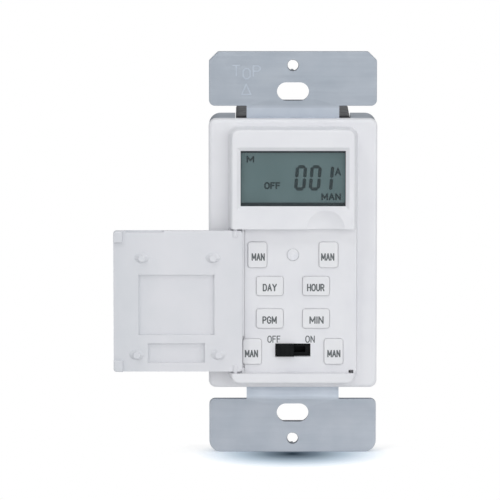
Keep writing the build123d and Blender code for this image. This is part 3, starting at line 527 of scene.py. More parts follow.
white_moulding("white_plastic", screen(229, 229, 232), screen(225, 225, 229), 0.42)
white_moulding("door_plastic", screen(221, 221, 225), screen(217, 218, 222), 0.44)
white_moulding("key_plastic", screen(230, 230, 232), screen(226, 226, 229), 0.40)
white_moulding("pale_plastic", screen(205, 205, 204), screen(198, 198, 197), 0.55)

door_white = finishes["door_plastic"]
door_shader = door_white.node_tree.nodes["Principled BSDF"]
# Painted shade towards the door's free edge.
free_edge_shade = between(door_white, split_axes(door_white, "Object")["X"], 0, 1, *DOOR_SHADED_SPAN)
multiply_colour(door_white, door_shader, DOOR_PAINTED_SHADE, free_edge_shade)
print("white mouldings made")


# %% [markdown]
# ## Lens, display and light pipe
# The window is clear acrylic, flush in the cover, so it only needs a faint pale film and a little
# gloss: Alpha lets the display show through it. The display's glass is a flat grey-green, with a
# very fine speckle from its polariser. The light pipe is milky acrylic, almost the cover's white.

# %% Clear and milky parts
LENS_FILM = 0.06
MILK_WEIGHT = 0.3
MILK_DEPTH = 1.2 * MM

lens, shader = start_finish("clear_lens", screen(60, 70, 72), 0.12)
shader.inputs["Alpha"].default_value = LENS_FILM
relief(lens, shader, (noise(lens, 5 * MM, 2), 0.002 * MM))
finishes["clear_lens"] = lens

display, shader = start_finish("display_glass", screen(94, 118, 120), 0.35)
tint(display, shader, noise(display, 7 * MM, 2), screen(90, 114, 116), screen(97, 121, 123))
vary_roughness(display, shader, noise(display, 0.2 * MM, 2), 0.3, 0.45)
relief(display, shader, (noise(display, 0.1 * MM, 2), 0.001 * MM))
finishes["display_glass"] = display

milky, shader = start_finish("frosted_lens", screen(228, 228, 232), 0.22)
tint(milky, shader, noise(milky, 2 * MM, 2), screen(224, 225, 230), screen(231, 231, 234))
shader.inputs["Subsurface Weight"].default_value = MILK_WEIGHT
shader.inputs["Subsurface Radius"].default_value = (MILK_DEPTH, MILK_DEPTH, MILK_DEPTH)
vary_roughness(milky, shader, noise(milky, 0.6 * MM, 3), 0.18, 0.32)
relief(milky, shader, (noise(milky, 0.8 * MM, 2), 0.003 * MM))
finishes["frosted_lens"] = milky
print("lens, display and light pipe made")


# %% [markdown]
# ## Dark mouldings
# The rear housing is a hard dark grey thermoset with a coarser texture and pale dust in its
# grain. The knob is black and smoother. Chips, plugs and small bodies inside are black moulding
# compound, dull and finely pitted.

# %% Dark plastics
SPECK_SIZE = 1.5 * MM
DUST_SIZE = 2.5 * MM


def dark_moulding(name, dark, light, roughness, grain, height, shine=0.4):
    """A dull moulding with specks of a lighter shade and a grain of that size and height."""
    material, shader = start_finish(name, light, roughness, shine=shine)
    tint(material, shader, noise(material, SPECK_SIZE, 5), dark, light, 0.35, 0.7)
    vary_roughness(material, shader, noise(material, DUST_SIZE, 4), roughness - 0.08, roughness + 0.1)
    relief(material, shader, (cells(material, grain), height),
           (noise(material, grain / 3, 2), height / 2))
    finishes[name] = material


dark_moulding("housing_grey", screen(48, 48, 51), screen(60, 60, 63), 0.58, 0.45 * MM, 0.02 * MM)
dark_moulding("knob_black", screen(12, 14, 16), screen(17, 19, 21), 0.5, 0.25 * MM, 0.005 * MM,
              shine=0.12)
dark_moulding("chip_black", screen(38, 38, 40), screen(52, 52, 54), 0.6, 0.2 * MM, 0.006 * MM)
dark_moulding("fibre_sheet", screen(112, 117, 122), screen(134, 138, 142), 0.72, 0.5 * MM, 0.01 * MM)
dark_moulding("contact_rubber", screen(150, 140, 160), screen(168, 158, 176), 0.7, 0.3 * MM,
              0.005 * MM)
print("dark mouldings made")


# %% [markdown]
# ## Screws, springs and brass
# Turned and pressed metal parts share one recipe: a metal colour with fine tool marks, faint
# stains, and uneven shine. The ground screw is steel dyed green.

# %% Bare metals
STAIN_SIZE = 1.6 * MM
TOOL_MARK_SIZE = 0.16 * MM


def metal_part(name, dull, bright, roughness, marks=(1, 1, 1), metal=1.0):
    """A metal with stains from dull to bright, and tool marks stretched along an axis."""
    material, shader = start_finish(name, bright, roughness, metal)
    tint(material, shader, noise(material, STAIN_SIZE, 4), dull, bright, 0.35, 0.6)
    scratches = noise(material, TOOL_MARK_SIZE, 3, stretch=marks)
    vary_roughness(material, shader, scratches, roughness - 0.1, roughness + 0.12)
    relief(material, shader, (scratches, 0.005 * MM))
    finishes[name] = material


metal_part("plated_screws", screen(170, 170, 168), screen(201, 201, 199), 0.32)
metal_part("nickel", screen(190, 187, 180), screen(216, 213, 206), 0.24)
metal_part("spring_metal", screen(170, 168, 162), screen(204, 201, 194), 0.3, marks=(1, 1, 0.1))
metal_part("brass_parts", screen(176, 142, 84), screen(214, 180, 112), 0.3, marks=(0.15, 1, 1))
metal_part("green_screw", screen(22, 92, 48), screen(44, 134, 74), 0.38, metal=0.55)
print("metals made")


# %% [markdown]
# ## Boards and components
# These sit inside the housing. The circuit boards are green resist over fibreglass cloth, whose
# weave shows as a fine grid. The capacitors, the relay and the choke have the glossy or dull
# skins of such components. The bare label on the back is a silver film with faint creases.

# %% Boards and components
board, shader = start_finish("circuit_board", screen(38, 104, 62), 0.36)
weave = cells(board, 0.5 * MM, feature="SMOOTH_F1")
tint(board, shader, weave, screen(28, 88, 50), screen(48, 118, 74), 0.1, 0.7)
vary_roughness(board, shader, noise(board, 1 * MM, 4), 0.3, 0.5)
relief(board, shader, (weave, 0.01 * MM), (noise(board, 0.15 * MM, 2), 0.003 * MM))
finishes["circuit_board"] = board

dark_moulding("relay_case", screen(28, 62, 118), screen(38, 76, 136), 0.4, 0.3 * MM, 0.004 * MM)
dark_moulding("film_case", screen(176, 146, 62), screen(198, 168, 78), 0.42, 0.4 * MM, 0.006 * MM)
dark_moulding("can_sleeve", screen(24, 30, 56), screen(34, 42, 70), 0.28, 0.6 * MM, 0.004 * MM)
dark_moulding("disc_coating", screen(36, 84, 136), screen(48, 102, 158), 0.36, 0.5 * MM, 0.02 * MM)
dark_moulding("ferrite", screen(48, 48, 50), screen(70, 69, 68), 0.66, 0.25 * MM, 0.012 * MM)

film, shader = start_finish("bare_label", screen(196, 198, 200), 0.34, metal=0.35)
tint(film, shader, noise(film, 5 * MM, 3), screen(190, 192, 195), screen(203, 205, 206))
vary_roughness(film, shader, noise(film, 0.8 * MM, 4, stretch=(1, 1, 0.15)), 0.28, 0.44)
relief(film, shader, (noise(film, 4 * MM, 3), 0.012 * MM), (noise(film, 0.3 * MM, 2), 0.002 * MM))
finishes["bare_label"] = film
print("finishes:", len(finishes))


# %% [markdown]
# ## Finishes onto the CAD parts
# The record says which material slot each part has, and every finish above is named after its
# slot, so one loop dresses all of them. Only the slots' materials change: the parts themselves
# stay as they came.

# %% Dress the CAD parts
slot_of = {part["node"]: part["material_slot"] for part in frame["record"]["subparts"]}
for name, part in parts.items():
    if not part.data.materials:
        part.data.materials.append(finishes[slot_of[name]])
    for slot in part.material_slots:
        slot.material = finishes[slot_of[name]]
print("dressed:", len(parts))


# %% [markdown]
# ## A stroke alphabet
# The printed words, the display and the stamped mark all use plain letters made of strokes of even
# width, as an engraver's pantograph makes them. A letter is a list of lines in a box 6 units high.

# %% Letters as lines
LETTERS = {
    "A": [[(0, 0), (2, 6), (4, 0)], [(0.75, 2), (3.25, 2)]],
    "D": [[(0, 0), (0, 6), (2.3, 6), (3.7, 4.6), (3.7, 1.4), (2.3, 0), (0, 0)]],
    "F": [[(0, 0), (0, 6), (3.2, 6)], [(0, 3.2), (2.7, 3.2)]],
    "G": [[(3.9, 4.7), (2.7, 6), (1.2, 6), (0, 4.6), (0, 1.4), (1.2, 0), (2.7, 0), (3.9, 1.4),
           (3.9, 2.8), (2.3, 2.8)]],
    "H": [[(0, 0), (0, 6)], [(3.7, 0), (3.7, 6)], [(0, 3.1), (3.7, 3.1)]],
    "I": [[(0, 0), (0, 6)]],
    "M": [[(0, 0), (0, 6), (2.3, 1.5), (4.6, 6), (4.6, 0)]],
    "N": [[(0, 0), (0, 6), (3.8, 0), (3.8, 6)]],
    "O": [[(1.2, 0), (0, 1.4), (0, 4.6), (1.2, 6), (2.8, 6), (4, 4.6), (4, 1.4), (2.8, 0), (1.2, 0)]],
    "P": [[(0, 0), (0, 6), (2.3, 6), (3.5, 5), (3.5, 3.8), (2.3, 2.8), (0, 2.8)]],
    "R": [[(0, 0), (0, 6), (2.3, 6), (3.5, 5), (3.5, 3.8), (2.3, 2.8), (0, 2.8)],
          [(1.9, 2.8), (3.6, 0)]],
    "T": [[(0, 6), (4, 6)], [(2, 6), (2, 0)]],
    "U": [[(0, 6), (0, 1.4), (1.2, 0), (2.5, 0), (3.7, 1.4), (3.7, 6)]],
    "Y": [[(0, 6), (2.1, 2.9), (4.2, 6)], [(2.1, 2.9), (2.1, 0)]],
}
LETTER_HEIGHT = 6
LETTER_SPACE = 1.9


def word_lines(word):
    """The lines of a word, and its width, in the units of the letters."""
    lines, start = [], 0
    for letter in word:
        lines += [[(start + x, z) for x, z in line] for line in LETTERS[letter]]
        start += max(x for line in LETTERS[letter] for x, z in line) + LETTER_SPACE
    return lines, start - LETTER_SPACE


def written(word, centre_x, centre_z, width, height, stroke):
    """The lines of a word whose letters fill that width and height, stroke included, in metres."""
    lines, across = word_lines(word)
    wide, high = (width - stroke) / across, (height - stroke) / LETTER_HEIGHT
    low_x, low_z = centre_x - (width - stroke) / 2, centre_z - (height - stroke) / 2
    return [[(low_x + x * wide, low_z + z * high) for x, z in line] for line in lines]


print("letters:", "".join(LETTERS), "width of HOUR:", round(word_lines("HOUR")[1], 2))


# %% [markdown]
# ## Strokes
# A stroke is like the track of a round pen. One disc is modelled, then each stroke is a copy of it
# whose two halves are pulled apart to the ends of its line, so the strokes have round ends and meet
# in round corners. Neighbours lie in slightly different planes, because faces in the same plane
# flicker where they overlap.

# %% Strokes
PLANE_STEP = 0.0006 * MM
PLANES = 5


def stroke_end(width, thickness, sides, turn):
    """A disc round the Y axis, whose front is at 0 and which reaches thickness into the wall."""
    deselect()
    bpy.ops.mesh.primitive_circle_add(vertices=sides, radius=width / 2, fill_type="NGON",
                                      location=(0, thickness, 0), rotation=(math.pi / 2, 0, 0))
    disc = bpy.context.object
    bpy.ops.object.transform_apply(location=True, rotation=True, scale=True)
    bpy.ops.object.mode_set(mode="EDIT")
    bpy.ops.mesh.select_all(action="SELECT")
    bpy.ops.transform.rotate(value=turn, orient_axis="Y", center_override=(0, 0, 0))
    bpy.ops.mesh.extrude_region_move(TRANSFORM_OT_translate={"value": (0, -thickness, 0)})
    bpy.ops.object.mode_set(mode="OBJECT")
    return disc


def strokes(name, lines, y, width, thickness, sides=12, turn=math.radians(15)):
    """One mesh of strokes along lines of X and Z places, all in metres, with its front at y."""
    disc = stroke_end(width, thickness, sides, turn)
    shape = bmesh.new()
    for number, (first, last) in enumerate((a, b) for line in lines for a, b in zip(line, line[1:])):
        along = Vector((last[0] - first[0], 0, last[1] - first[1]))
        bar = disc.data.copy()
        for vertex in bar.vertices:
            if vertex.co.z > 0:
                vertex.co.z += along.length
        start = (first[0], y + PLANE_STEP * (number % PLANES), first[1])
        bar.transform(Matrix.Translation(start) @
                      Matrix.Rotation(math.atan2(along.x, along.z), 4, "Y"))
        shape.from_mesh(bar)
        bpy.data.meshes.remove(bar)
    mesh = bpy.data.meshes.new(name)
    shape.to_mesh(mesh)
    shape.free()
    bpy.data.objects.remove(disc)
    piece = bpy.data.objects.new(name, mesh)
    bpy.context.scene.collection.objects.link(piece)
    return piece


print("planes of the strokes:", PLANES)


# %% [markdown]
# ## Pieces on their bodies
# The switch moves: the door swings, the keys go in and the knob slides. Every finished piece is
# dressed and tied to the body that it moves with.

# %% Hang a piece on its body
def hang(piece, material, body):
    piece.data.materials.clear()
    piece.data.materials.append(material)
    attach(piece, body)


# %% [markdown]
# ## Words on the front
# The keys and the panel carry small grey printed words: MAN on the four corner keys, DAY, HOUR,
# PGM and MIN on the others, OFF and ON over the slide switch. They are pad printed: a soft stamp
# lays a thin film of ink on the moulding. Here each word is a film of that kind, a hundredth of a
# millimetre or two proud. A word on a key rides on that key.

# %% Printed words
PANEL_Y = -6.2 * MM
INK_PROUD = 0.015 * MM
INK_DEPTH = 0.02 * MM
WORD_HEIGHT = 1.95 * MM
WORD_STROKE = 0.34 * MM
KEY_WORDS = {  # word, its width, and how far aside and up of the key's middle, in millimetres
    "manual_upper_left": ("MAN", 3.4, 0.2, -0.5), "manual_upper_right": ("MAN", 3.4, -0.2, -0.5),
    "manual_lower_left": ("MAN", 3.4, -0.18, -0.5), "manual_lower_right": ("MAN", 3.4, 0.08, -0.5),
    "day": ("DAY", 3.65, 0, -0.36), "hour": ("HOUR", 4.5, -0.08, -0.36),
    "program": ("PGM", 3.7, -0.05, -0.33), "minute": ("MIN", 3.65, 0.14, -0.33)}
SWITCH_WORDS = [("OFF", -4.87, 3.35), ("ON", 4.42, 2.45)]  # word, X of its middle, width
SWITCH_WORD_Z = -21.7 * MM
SWITCH_WORD_HEIGHT = 1.85 * MM
SWITCH_WORD_STROKE = 0.27 * MM

ink, shader = start_finish("grey_ink", screen(92, 97, 99), 0.5)
tint(ink, shader, noise(ink, 0.5 * MM, 4), screen(84, 89, 91), screen(102, 107, 109))
vary_roughness(ink, shader, noise(ink, 0.3 * MM, 3), 0.42, 0.6)
relief(ink, shader, (noise(ink, 0.15 * MM, 2), 0.002 * MM))

for key, (word, width, aside, up) in KEY_WORDS.items():
    low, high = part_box("key_" + key)
    lines = written(word, (low.x + high.x) / 2 + aside * MM, (low.z + high.z) / 2 + up * MM,
                    width * MM, WORD_HEIGHT, WORD_STROKE)
    piece = strokes("word_on_key_" + key, lines, low.y - INK_PROUD, WORD_STROKE,
                    INK_PROUD + INK_DEPTH)
    hang(piece, ink, key + "_key")

for word, x, width in SWITCH_WORDS:
    lines = written(word, x * MM, SWITCH_WORD_Z, width * MM, SWITCH_WORD_HEIGHT, SWITCH_WORD_STROKE)
    piece = strokes("word_" + word.lower(), lines, PANEL_Y - INK_PROUD, SWITCH_WORD_STROKE,
                    INK_PROUD + INK_DEPTH)
    hang(piece, ink, "chassis")
print("words:", len(KEY_WORDS) + len(SWITCH_WORDS))


# %% [markdown]
# ## The figures on the display
# A liquid crystal shows dark strokes just behind its front glass. The large figures are built from
# bars with pointed ends, as on the real display, leaned over a little. The pointed bars are the
# same strokes again, but from a six-sided disc.

# %% Display figures
DISPLAY_Y = -7.6 * MM
DISPLAY_DEPTH = 0.04 * MM
FIGURES = [(1.68, 16.85, 6.7, "abcdef"), (5.42, 16.85, 6.7, "abcdef"),  # X, foot, height, bars
           (8.55, 16.52, 7.2, "bc")]
FIGURE_WIDTH = 3.05
BAR_WIDTH = 1.0
BAR_GAP = 0.14
LEAN = 0.085

stroke_ink, shader = start_finish("display_stroke", screen(22, 42, 46), 0.4)
tint(stroke_ink, shader, noise(stroke_ink, 0.6 * MM, 3), screen(18, 37, 41), screen(27, 49, 53))
vary_roughness(stroke_ink, shader, noise(stroke_ink, 0.2 * MM, 2), 0.34, 0.48)
relief(stroke_ink, shader, (noise(stroke_ink, 0.2 * MM, 2), 0.001 * MM))


def figure_bars(x, foot, height, bars):
    """Lines of one figure; its bars have the letters that makers of such displays use."""
    side = (FIGURE_WIDTH - BAR_WIDTH) / 2
    half = (height - BAR_WIDTH) / 2
    low, middle, top = 0, half, 2 * half
    ends = {"a": ((-side, top), (side, top)), "b": ((side, top), (side, middle)),
            "c": ((side, middle), (side, low)), "d": ((side, low), (-side, low)),
            "e": ((-side, low), (-side, middle)), "f": ((-side, middle), (-side, top))}
    lines = []
    for bar in bars:
        first, last = Vector(ends[bar][0]), Vector(ends[bar][1])
        trim = (last - first).normalized() * (BAR_WIDTH / 2 + BAR_GAP / 2)
        foot_z = foot + BAR_WIDTH / 2
        lines.append([((x + p.x + LEAN * p.y) * MM, (foot_z + p.y) * MM)
                      for p in (first + trim, last - trim)])
    return lines


bars = [line for figure in FIGURES for line in figure_bars(*figure)]
figures = strokes("display_figures", bars, DISPLAY_Y, BAR_WIDTH * MM, DISPLAY_DEPTH, sides=6, turn=0)
hang(figures, stroke_ink, "chassis")
print("display bars:", len(bars), "faces:", len(figures.data.polygons))


# %% [markdown]
# ## The small words on the display
# Round the figures stand M for the day, OFF, A for the morning, and MAN. Each is one fixed shape in
# the liquid crystal, so plain letters do, in the same dark finish.

# %% Display words
DISPLAY_STROKE = 0.42 * MM
DISPLAY_WORDS = [  # word, X and Z of its middle, width and height
    ("M", -10.9, 25.0, 2.0, 1.8), ("OFF", -5.32, 18.2, 4.15, 1.85),
    ("A", 11.45, 21.8, 1.6, 2.1), ("MAN", 9.72, 15.35, 5.05, 1.85)]

lines = []
for word, *numbers in DISPLAY_WORDS:
    lines += written(word, *(n * MM for n in numbers), DISPLAY_STROKE)
hang(strokes("display_words", lines, DISPLAY_Y, DISPLAY_STROKE, DISPLAY_DEPTH), stroke_ink,
     "chassis")
print("display words:", [word for word, *numbers in DISPLAY_WORDS])


# %% [markdown]
# ## The display's dark border
# A dark border shows a little inside the window, most of it at the foot. It is partly a printed dark
# edge and partly painted shade, a dark sheet where the window's edge casts its shadow. It starts as a
# sheet with an inset, whose middle is then taken out.

# %% Border of the display
BORDER_Y = -7.68
BORDER_THICKNESS = 0.04 * MM
BORDER_OUTER = (-13.75, 13.75, 12.75, 27.6)  # left, right, foot and top, in millimetres
BORDER_INNER = (-13.22, 13.25, 13.85, 26.62)
SHEET_INSET = 0.2  # of a sheet of size 1, so its outer corners lie at 0.5 and its inner at 0.3

deselect()
bpy.ops.mesh.primitive_plane_add(size=1, rotation=(math.pi / 2, 0, 0))
border = bpy.context.object
border.name = "display_border"
bpy.ops.object.transform_apply(location=True, rotation=True, scale=True)
bpy.ops.object.mode_set(mode="EDIT")
bpy.ops.mesh.select_all(action="SELECT")
bpy.ops.mesh.inset(thickness=SHEET_INSET)
bpy.ops.mesh.delete(type="ONLY_FACE")
bpy.ops.object.mode_set(mode="OBJECT")
for vertex in border.data.vertices:
    outer = abs(vertex.co.x) > 0.5 - SHEET_INSET / 2
    left, right, foot, top = BORDER_OUTER if outer else BORDER_INNER
    vertex.co = Vector((right if vertex.co.x > 0 else left, BORDER_Y,
                        top if vertex.co.z > 0 else foot)) * MM
bpy.ops.object.mode_set(mode="EDIT")
bpy.ops.mesh.select_all(action="SELECT")
bpy.ops.mesh.extrude_region_move(TRANSFORM_OT_translate={"value": (0, BORDER_THICKNESS, 0)})
bpy.ops.mesh.select_all(action="SELECT")
bpy.ops.mesh.normals_make_consistent(inside=False)
bpy.ops.object.mode_set(mode="OBJECT")

# The border's dark colour is partly a printed edge and partly painted shade from the window's edge.
dark_border_and_shade, shader = start_finish("dark_border_and_shade", screen(34, 48, 52), 0.45)
tint(dark_border_and_shade, shader, noise(dark_border_and_shade, 2 * MM, 3), screen(30, 43, 47), screen(39, 54, 58))
vary_roughness(dark_border_and_shade, shader, noise(dark_border_and_shade, 0.4 * MM, 3), 0.4, 0.55)
relief(dark_border_and_shade, shader, (noise(dark_border_and_shade, 0.3 * MM, 2), 0.001 * MM))
hang(border, dark_border_and_shade, "chassis")
print("border:", len(border.data.polygons), "faces")


# %% [markdown]
# ## Copies of CAD parts
# Two CAD parts are changed a little: the strap gets its stamp, and the door's inner side is trued.
# A CAD part is loose triangles and stays as it is, so the work is done on a merged copy, which
# stands in for it. Edges over 25 degrees stay sharp in the copy.

# %% Copies to work on
SHARP_EDGE = math.radians(25)
MERGE_REACH = 1e-7


def make_active(piece):
    deselect()
    piece.select_set(True)
    bpy.context.view_layer.objects.active = piece


def merged_copy(node_name, name):
    """A copy of a CAD part with shared corners and plain normals, ready to be modelled on."""
    copy = parts[node_name].copy()
    copy.data = parts[node_name].data.copy()
    copy.name = name
    bpy.context.scene.collection.objects.link(copy)
    make_active(copy)
    if copy.data.has_custom_normals:
        bpy.ops.mesh.customdata_custom_splitnormals_clear()
    bpy.ops.object.mode_set(mode="EDIT")
    bpy.ops.mesh.select_all(action="SELECT")
    bpy.ops.mesh.remove_doubles(threshold=MERGE_REACH)
    bpy.ops.mesh.normals_make_consistent(inside=False)
    bpy.ops.object.mode_set(mode="OBJECT")
    return copy


def smooth(piece):
    """Smooth shading that leaves the sharp edges sharp."""
    make_active(piece)
    bpy.ops.object.shade_smooth_by_angle(angle=SHARP_EDGE)


print("edges stay sharp from", round(math.degrees(SHARP_EDGE)), "degrees")


# %% [markdown]
# ## The stamped mark
# The upper ear is stamped with the word TOP and a triangle that points up, so that the strap is
# hung the right way round. A stamp presses its strokes a little into the sheet, so here the strokes
# are made as a tool, and a Boolean modifier cuts them out of the strap.

# %% Stamp on the upper ear
EAR_FRONT_Y = -1.3 * MM
STAMP_DEPTH = 0.14 * MM
STAMP_STROKE = 0.42 * MM
STAMP_LETTERS = [("T", -14.5, 47.1), ("O", -11.85, 46.3), ("P", -9.25, 47.0)]
STAMP_LETTER_SIZE = (2.2 * MM, 3.0 * MM)
STAMP_TRIANGLE = [(-13.1, 40.95), (-11.95, 43.6), (-10.8, 40.95), (-13.1, 40.95)]


def cut_out(piece, tool):
    """Cuts the tool out of the piece and takes the tool away."""
    modifier = piece.modifiers.new("cut", "BOOLEAN")
    modifier.operation = "DIFFERENCE"
    modifier.object = tool
    modifier.solver = "EXACT"
    modifier.use_self = True
    make_active(piece)
    bpy.ops.object.modifier_apply(modifier=modifier.name)
    bpy.data.objects.remove(tool)


lines = []
for letter, x, z in STAMP_LETTERS:
    lines += written(letter, x * MM, z * MM, *STAMP_LETTER_SIZE, STAMP_STROKE)
lines.append([(x * MM, z * MM) for x, z in STAMP_TRIANGLE])
tool = strokes("stamp", lines, EAR_FRONT_Y - STAMP_DEPTH, STAMP_STROKE, 2 * STAMP_DEPTH, sides=8,
               turn=math.radians(22.5))
strap = merged_copy("mounting_strap", "stamped_strap")
cut_out(strap, tool)
smooth(strap)
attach(strap, "chassis")
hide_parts("mounting_strap")
print("strap faces after the stamp:", len(strap.data.polygons))


# %% [markdown]
# ## Boxes with soft edges
# Several small trims are boxes whose edges are rounded. A cube is added at its size and place, its
# mesh takes both over, and all of its edges are bevelled. Such a small mesh can come out inside
# out from a Screw modifier or an extrusion, which its signed volume tells.

# %% Rounded boxes
def rounded_box(name, centre, size, edge, segments=2):
    deselect()
    bpy.ops.mesh.primitive_cube_add(size=1, location=centre, scale=size)
    box = bpy.context.object
    box.name = name
    bpy.ops.object.transform_apply(location=True, rotation=True, scale=True)
    bpy.ops.object.mode_set(mode="EDIT")
    bpy.ops.mesh.select_all(action="SELECT")
    bpy.ops.mesh.bevel(offset=edge, segments=segments)
    bpy.ops.object.mode_set(mode="OBJECT")
    return box


def face_outward(piece):
    """Turns a closed mesh right side out, if its signed volume says that it is inside out."""
    shape = bmesh.new()
    shape.from_mesh(piece.data)
    if shape.calc_volume(signed=True) < 0:
        bmesh.ops.reverse_faces(shape, faces=shape.faces)
        shape.to_mesh(piece.data)
    shape.free()


print("rounded boxes: ready")


# %% [markdown]
# ## Threads in the wall-plate holes
# The round hole in each ear is tapped for the wall plate's screw. A tap cuts a V along a helix and
# pushes up a small tooth where it starts. Thread and tooth are given a darker steel: partly the bare
# steel of the cut, partly painted shade inside the hole. The ridge between the cuts is one small
# triangle, turned round the hole while it moves along it, just as the tap moves.

# %% Threads
HOLE_Z = 48.4 * MM
HOLE_RADIUS = 1.5 * MM
RIDGE_START_Y = -1.05 * MM
RIDGE_CENTRE = HOLE_RADIUS + 0.08 * MM
RIDGE_RADIUS = 0.2 * MM
RIDGE_TURN = math.radians(100)
THREAD_PITCH = 0.794 * MM
THREAD_TURNS = 2
THREAD_STEPS = 40
TOOTH_SIZE = Vector((0.7, 0.6, 0.75)) * MM
TOOTH_PLACE = Vector((-0.22, -0.75, -1.32)) * MM
TOOTH_EDGE = 0.14 * MM

# Darker steel: partly bare cut steel, partly painted shade on the thread, its tooth and the slot
# burrs.
bare_cut_and_shade, shader = start_finish("bare_cut_and_shade", screen(112, 117, 124), 0.45, metal=0.5)
tint(bare_cut_and_shade, shader, noise(bare_cut_and_shade, 0.4 * MM, 3), screen(98, 103, 110), screen(120, 125, 132))
vary_roughness(bare_cut_and_shade, shader, noise(bare_cut_and_shade, 0.2 * MM, 3), 0.38, 0.56)
relief(bare_cut_and_shade, shader, (noise(bare_cut_and_shade, 0.15 * MM, 3), 0.006 * MM))


def thread(name, centre_z):
    """The ridge of a thread in the hole at that height, with the tooth where it starts."""
    deselect()
    bpy.ops.mesh.primitive_circle_add(vertices=3, radius=RIDGE_RADIUS, fill_type="NOTHING",
                                      location=(RIDGE_CENTRE, RIDGE_START_Y, 0),
                                      rotation=(0, 0, math.pi / 2))
    ridge = bpy.context.object
    ridge.name = name
    bpy.ops.object.transform_apply(location=True, rotation=True, scale=True)
    turn = ridge.modifiers.new("turn", "SCREW")
    turn.axis = "Y"
    turn.screw_offset = THREAD_PITCH
    turn.iterations = THREAD_TURNS
    turn.steps = turn.render_steps = THREAD_STEPS
    turn.use_smooth_shade = False
    bpy.ops.object.modifier_apply(modifier="turn")
    bpy.ops.object.mode_set(mode="EDIT")
    bpy.ops.mesh.select_all(action="SELECT")
    bpy.ops.mesh.fill_holes(sides=3)
    bpy.ops.mesh.select_all(action="SELECT")
    bpy.ops.transform.rotate(value=RIDGE_TURN, orient_axis="Y", center_override=(0, 0, 0))
    bpy.ops.transform.translate(value=(0, 0, centre_z))
    bpy.ops.object.mode_set(mode="OBJECT")
    face_outward(ridge)
    rounded_box("tooth", TOOTH_PLACE + Vector((0, 0, centre_z)), TOOTH_SIZE, TOOTH_EDGE)
    ridge.select_set(True)
    bpy.context.view_layer.objects.active = ridge
    bpy.ops.object.join()
    return ridge


for end, side in (("upper", 1), ("lower", -1)):
    hang(thread("thread_" + end, side * HOLE_Z), bare_cut_and_shade, "chassis")


# %% [markdown]
# ## Burrs at the box-screw slots
# The punch that cut the long slots left a burr along the lower edge of each, and the camera, a
# little above, looks onto it. A thin rounded bar does for such a burr; its dark steel is partly bare
# steel and partly painted shade on that edge.

# %% Slot lips
SLOT_Z, SLOT_HEIGHT = 41.67 * MM, 4.75 * MM
LIP_SIZE = Vector((5.2, 1.1, 0.27)) * MM
LIP_Y = -0.7 * MM
LIP_SUNK = 0.05 * MM
LIP_EDGE = 0.08 * MM

for end, side in (("upper", 1), ("lower", -1)):
    foot = side * SLOT_Z - SLOT_HEIGHT / 2
    centre = (0, LIP_Y, foot + LIP_SIZE.z / 2 - LIP_SUNK)
    # Painted shade, partly bare steel: a dark bar along the slot's lower edge.
    lip = rounded_box("slot_lip_" + end, centre, LIP_SIZE, LIP_EDGE)
    hang(lip, bare_cut_and_shade, "chassis")
    print(lip.name, "at z in mm:", round(foot / MM, 2))


# %% [markdown]
# ## Skirts in the gaps
# Each key has a thin skirt a little under the panel's face, which nearly fills the gap round it, so
# the gap shows as a soft line and not as a black one. It starts as a sheet of the key's size, whose
# corners are bevelled round. The light pipe has a round skirt of the same kind.

# %% Skirts
SKIRT_FRONT = PANEL_Y + 0.22 * MM
SKIRT_DEPTH = 0.3 * MM
SKIRT_REACH = 0.075 * MM
KEY_CORNER = 0.7 * MM
CORNER_SEGMENTS = 6
PIPE_RADIUS = 1.5 * MM
PIPE_Z = 0.19 * MM
PIPE_SIDES = 64


def thicken(piece):
    """Gives a flat sheet that faces the room a thickness, and leaves its front at SKIRT_FRONT."""
    bpy.ops.object.mode_set(mode="EDIT")
    bpy.ops.mesh.select_all(action="SELECT")
    bpy.ops.mesh.extrude_region_move(TRANSFORM_OT_translate={"value": (0, -SKIRT_DEPTH, 0)})
    bpy.ops.object.mode_set(mode="OBJECT")
    face_outward(piece)
    return piece


def key_skirt(key):
    """A skirt round the part of a key that stands in front of the panel."""
    front = [v.co for v in parts["key_" + key].data.vertices if v.co.y < PANEL_Y]
    low = Vector([min(corner[i] for corner in front) for i in range(3)])
    high = Vector([max(corner[i] for corner in front) for i in range(3)])
    centre = (low + high) / 2
    deselect()
    bpy.ops.mesh.primitive_plane_add(size=1, location=(centre.x, SKIRT_FRONT + SKIRT_DEPTH, centre.z),
                                     rotation=(math.pi / 2, 0, 0))
    piece = bpy.context.object
    piece.name = "skirt_" + key
    piece.scale = (high.x - low.x + 2 * SKIRT_REACH, high.z - low.z + 2 * SKIRT_REACH, 1)
    bpy.ops.object.transform_apply(location=True, rotation=True, scale=True)
    bpy.ops.object.mode_set(mode="EDIT")
    bpy.ops.mesh.select_all(action="SELECT")
    bpy.ops.mesh.bevel(offset=KEY_CORNER, offset_type="OFFSET", segments=CORNER_SEGMENTS,
                       affect="VERTICES")
    bpy.ops.object.mode_set(mode="OBJECT")
    return thicken(piece)


for key in KEY_WORDS:
    hang(key_skirt(key), finishes["key_plastic"], key + "_key")

deselect()
bpy.ops.mesh.primitive_circle_add(vertices=PIPE_SIDES, radius=PIPE_RADIUS + SKIRT_REACH,
                                  fill_type="NGON", rotation=(math.pi / 2, 0, 0),
                                  location=(0, SKIRT_FRONT + SKIRT_DEPTH, PIPE_Z))
pipe_skirt = bpy.context.object
pipe_skirt.name = "skirt_light_pipe"
bpy.ops.object.transform_apply(location=True, rotation=True, scale=True)
hang(thicken(pipe_skirt), finishes["frosted_lens"], "chassis")
print("skirts:", len(KEY_WORDS) + 1)


# %% [markdown]
# ## The door's inner side
# The door's inner side has four nubs that keep the keys from rattling, two shallow fields for a
# note, and a finger lip at its top edge. A merged copy of the CAD door is trued to the photograph:
# the nubs get flared feet and sit half a millimetre lower, the fields are a little wider and
# deeper, and so is the lip. Corners are picked by the box that they lie in, and moved.

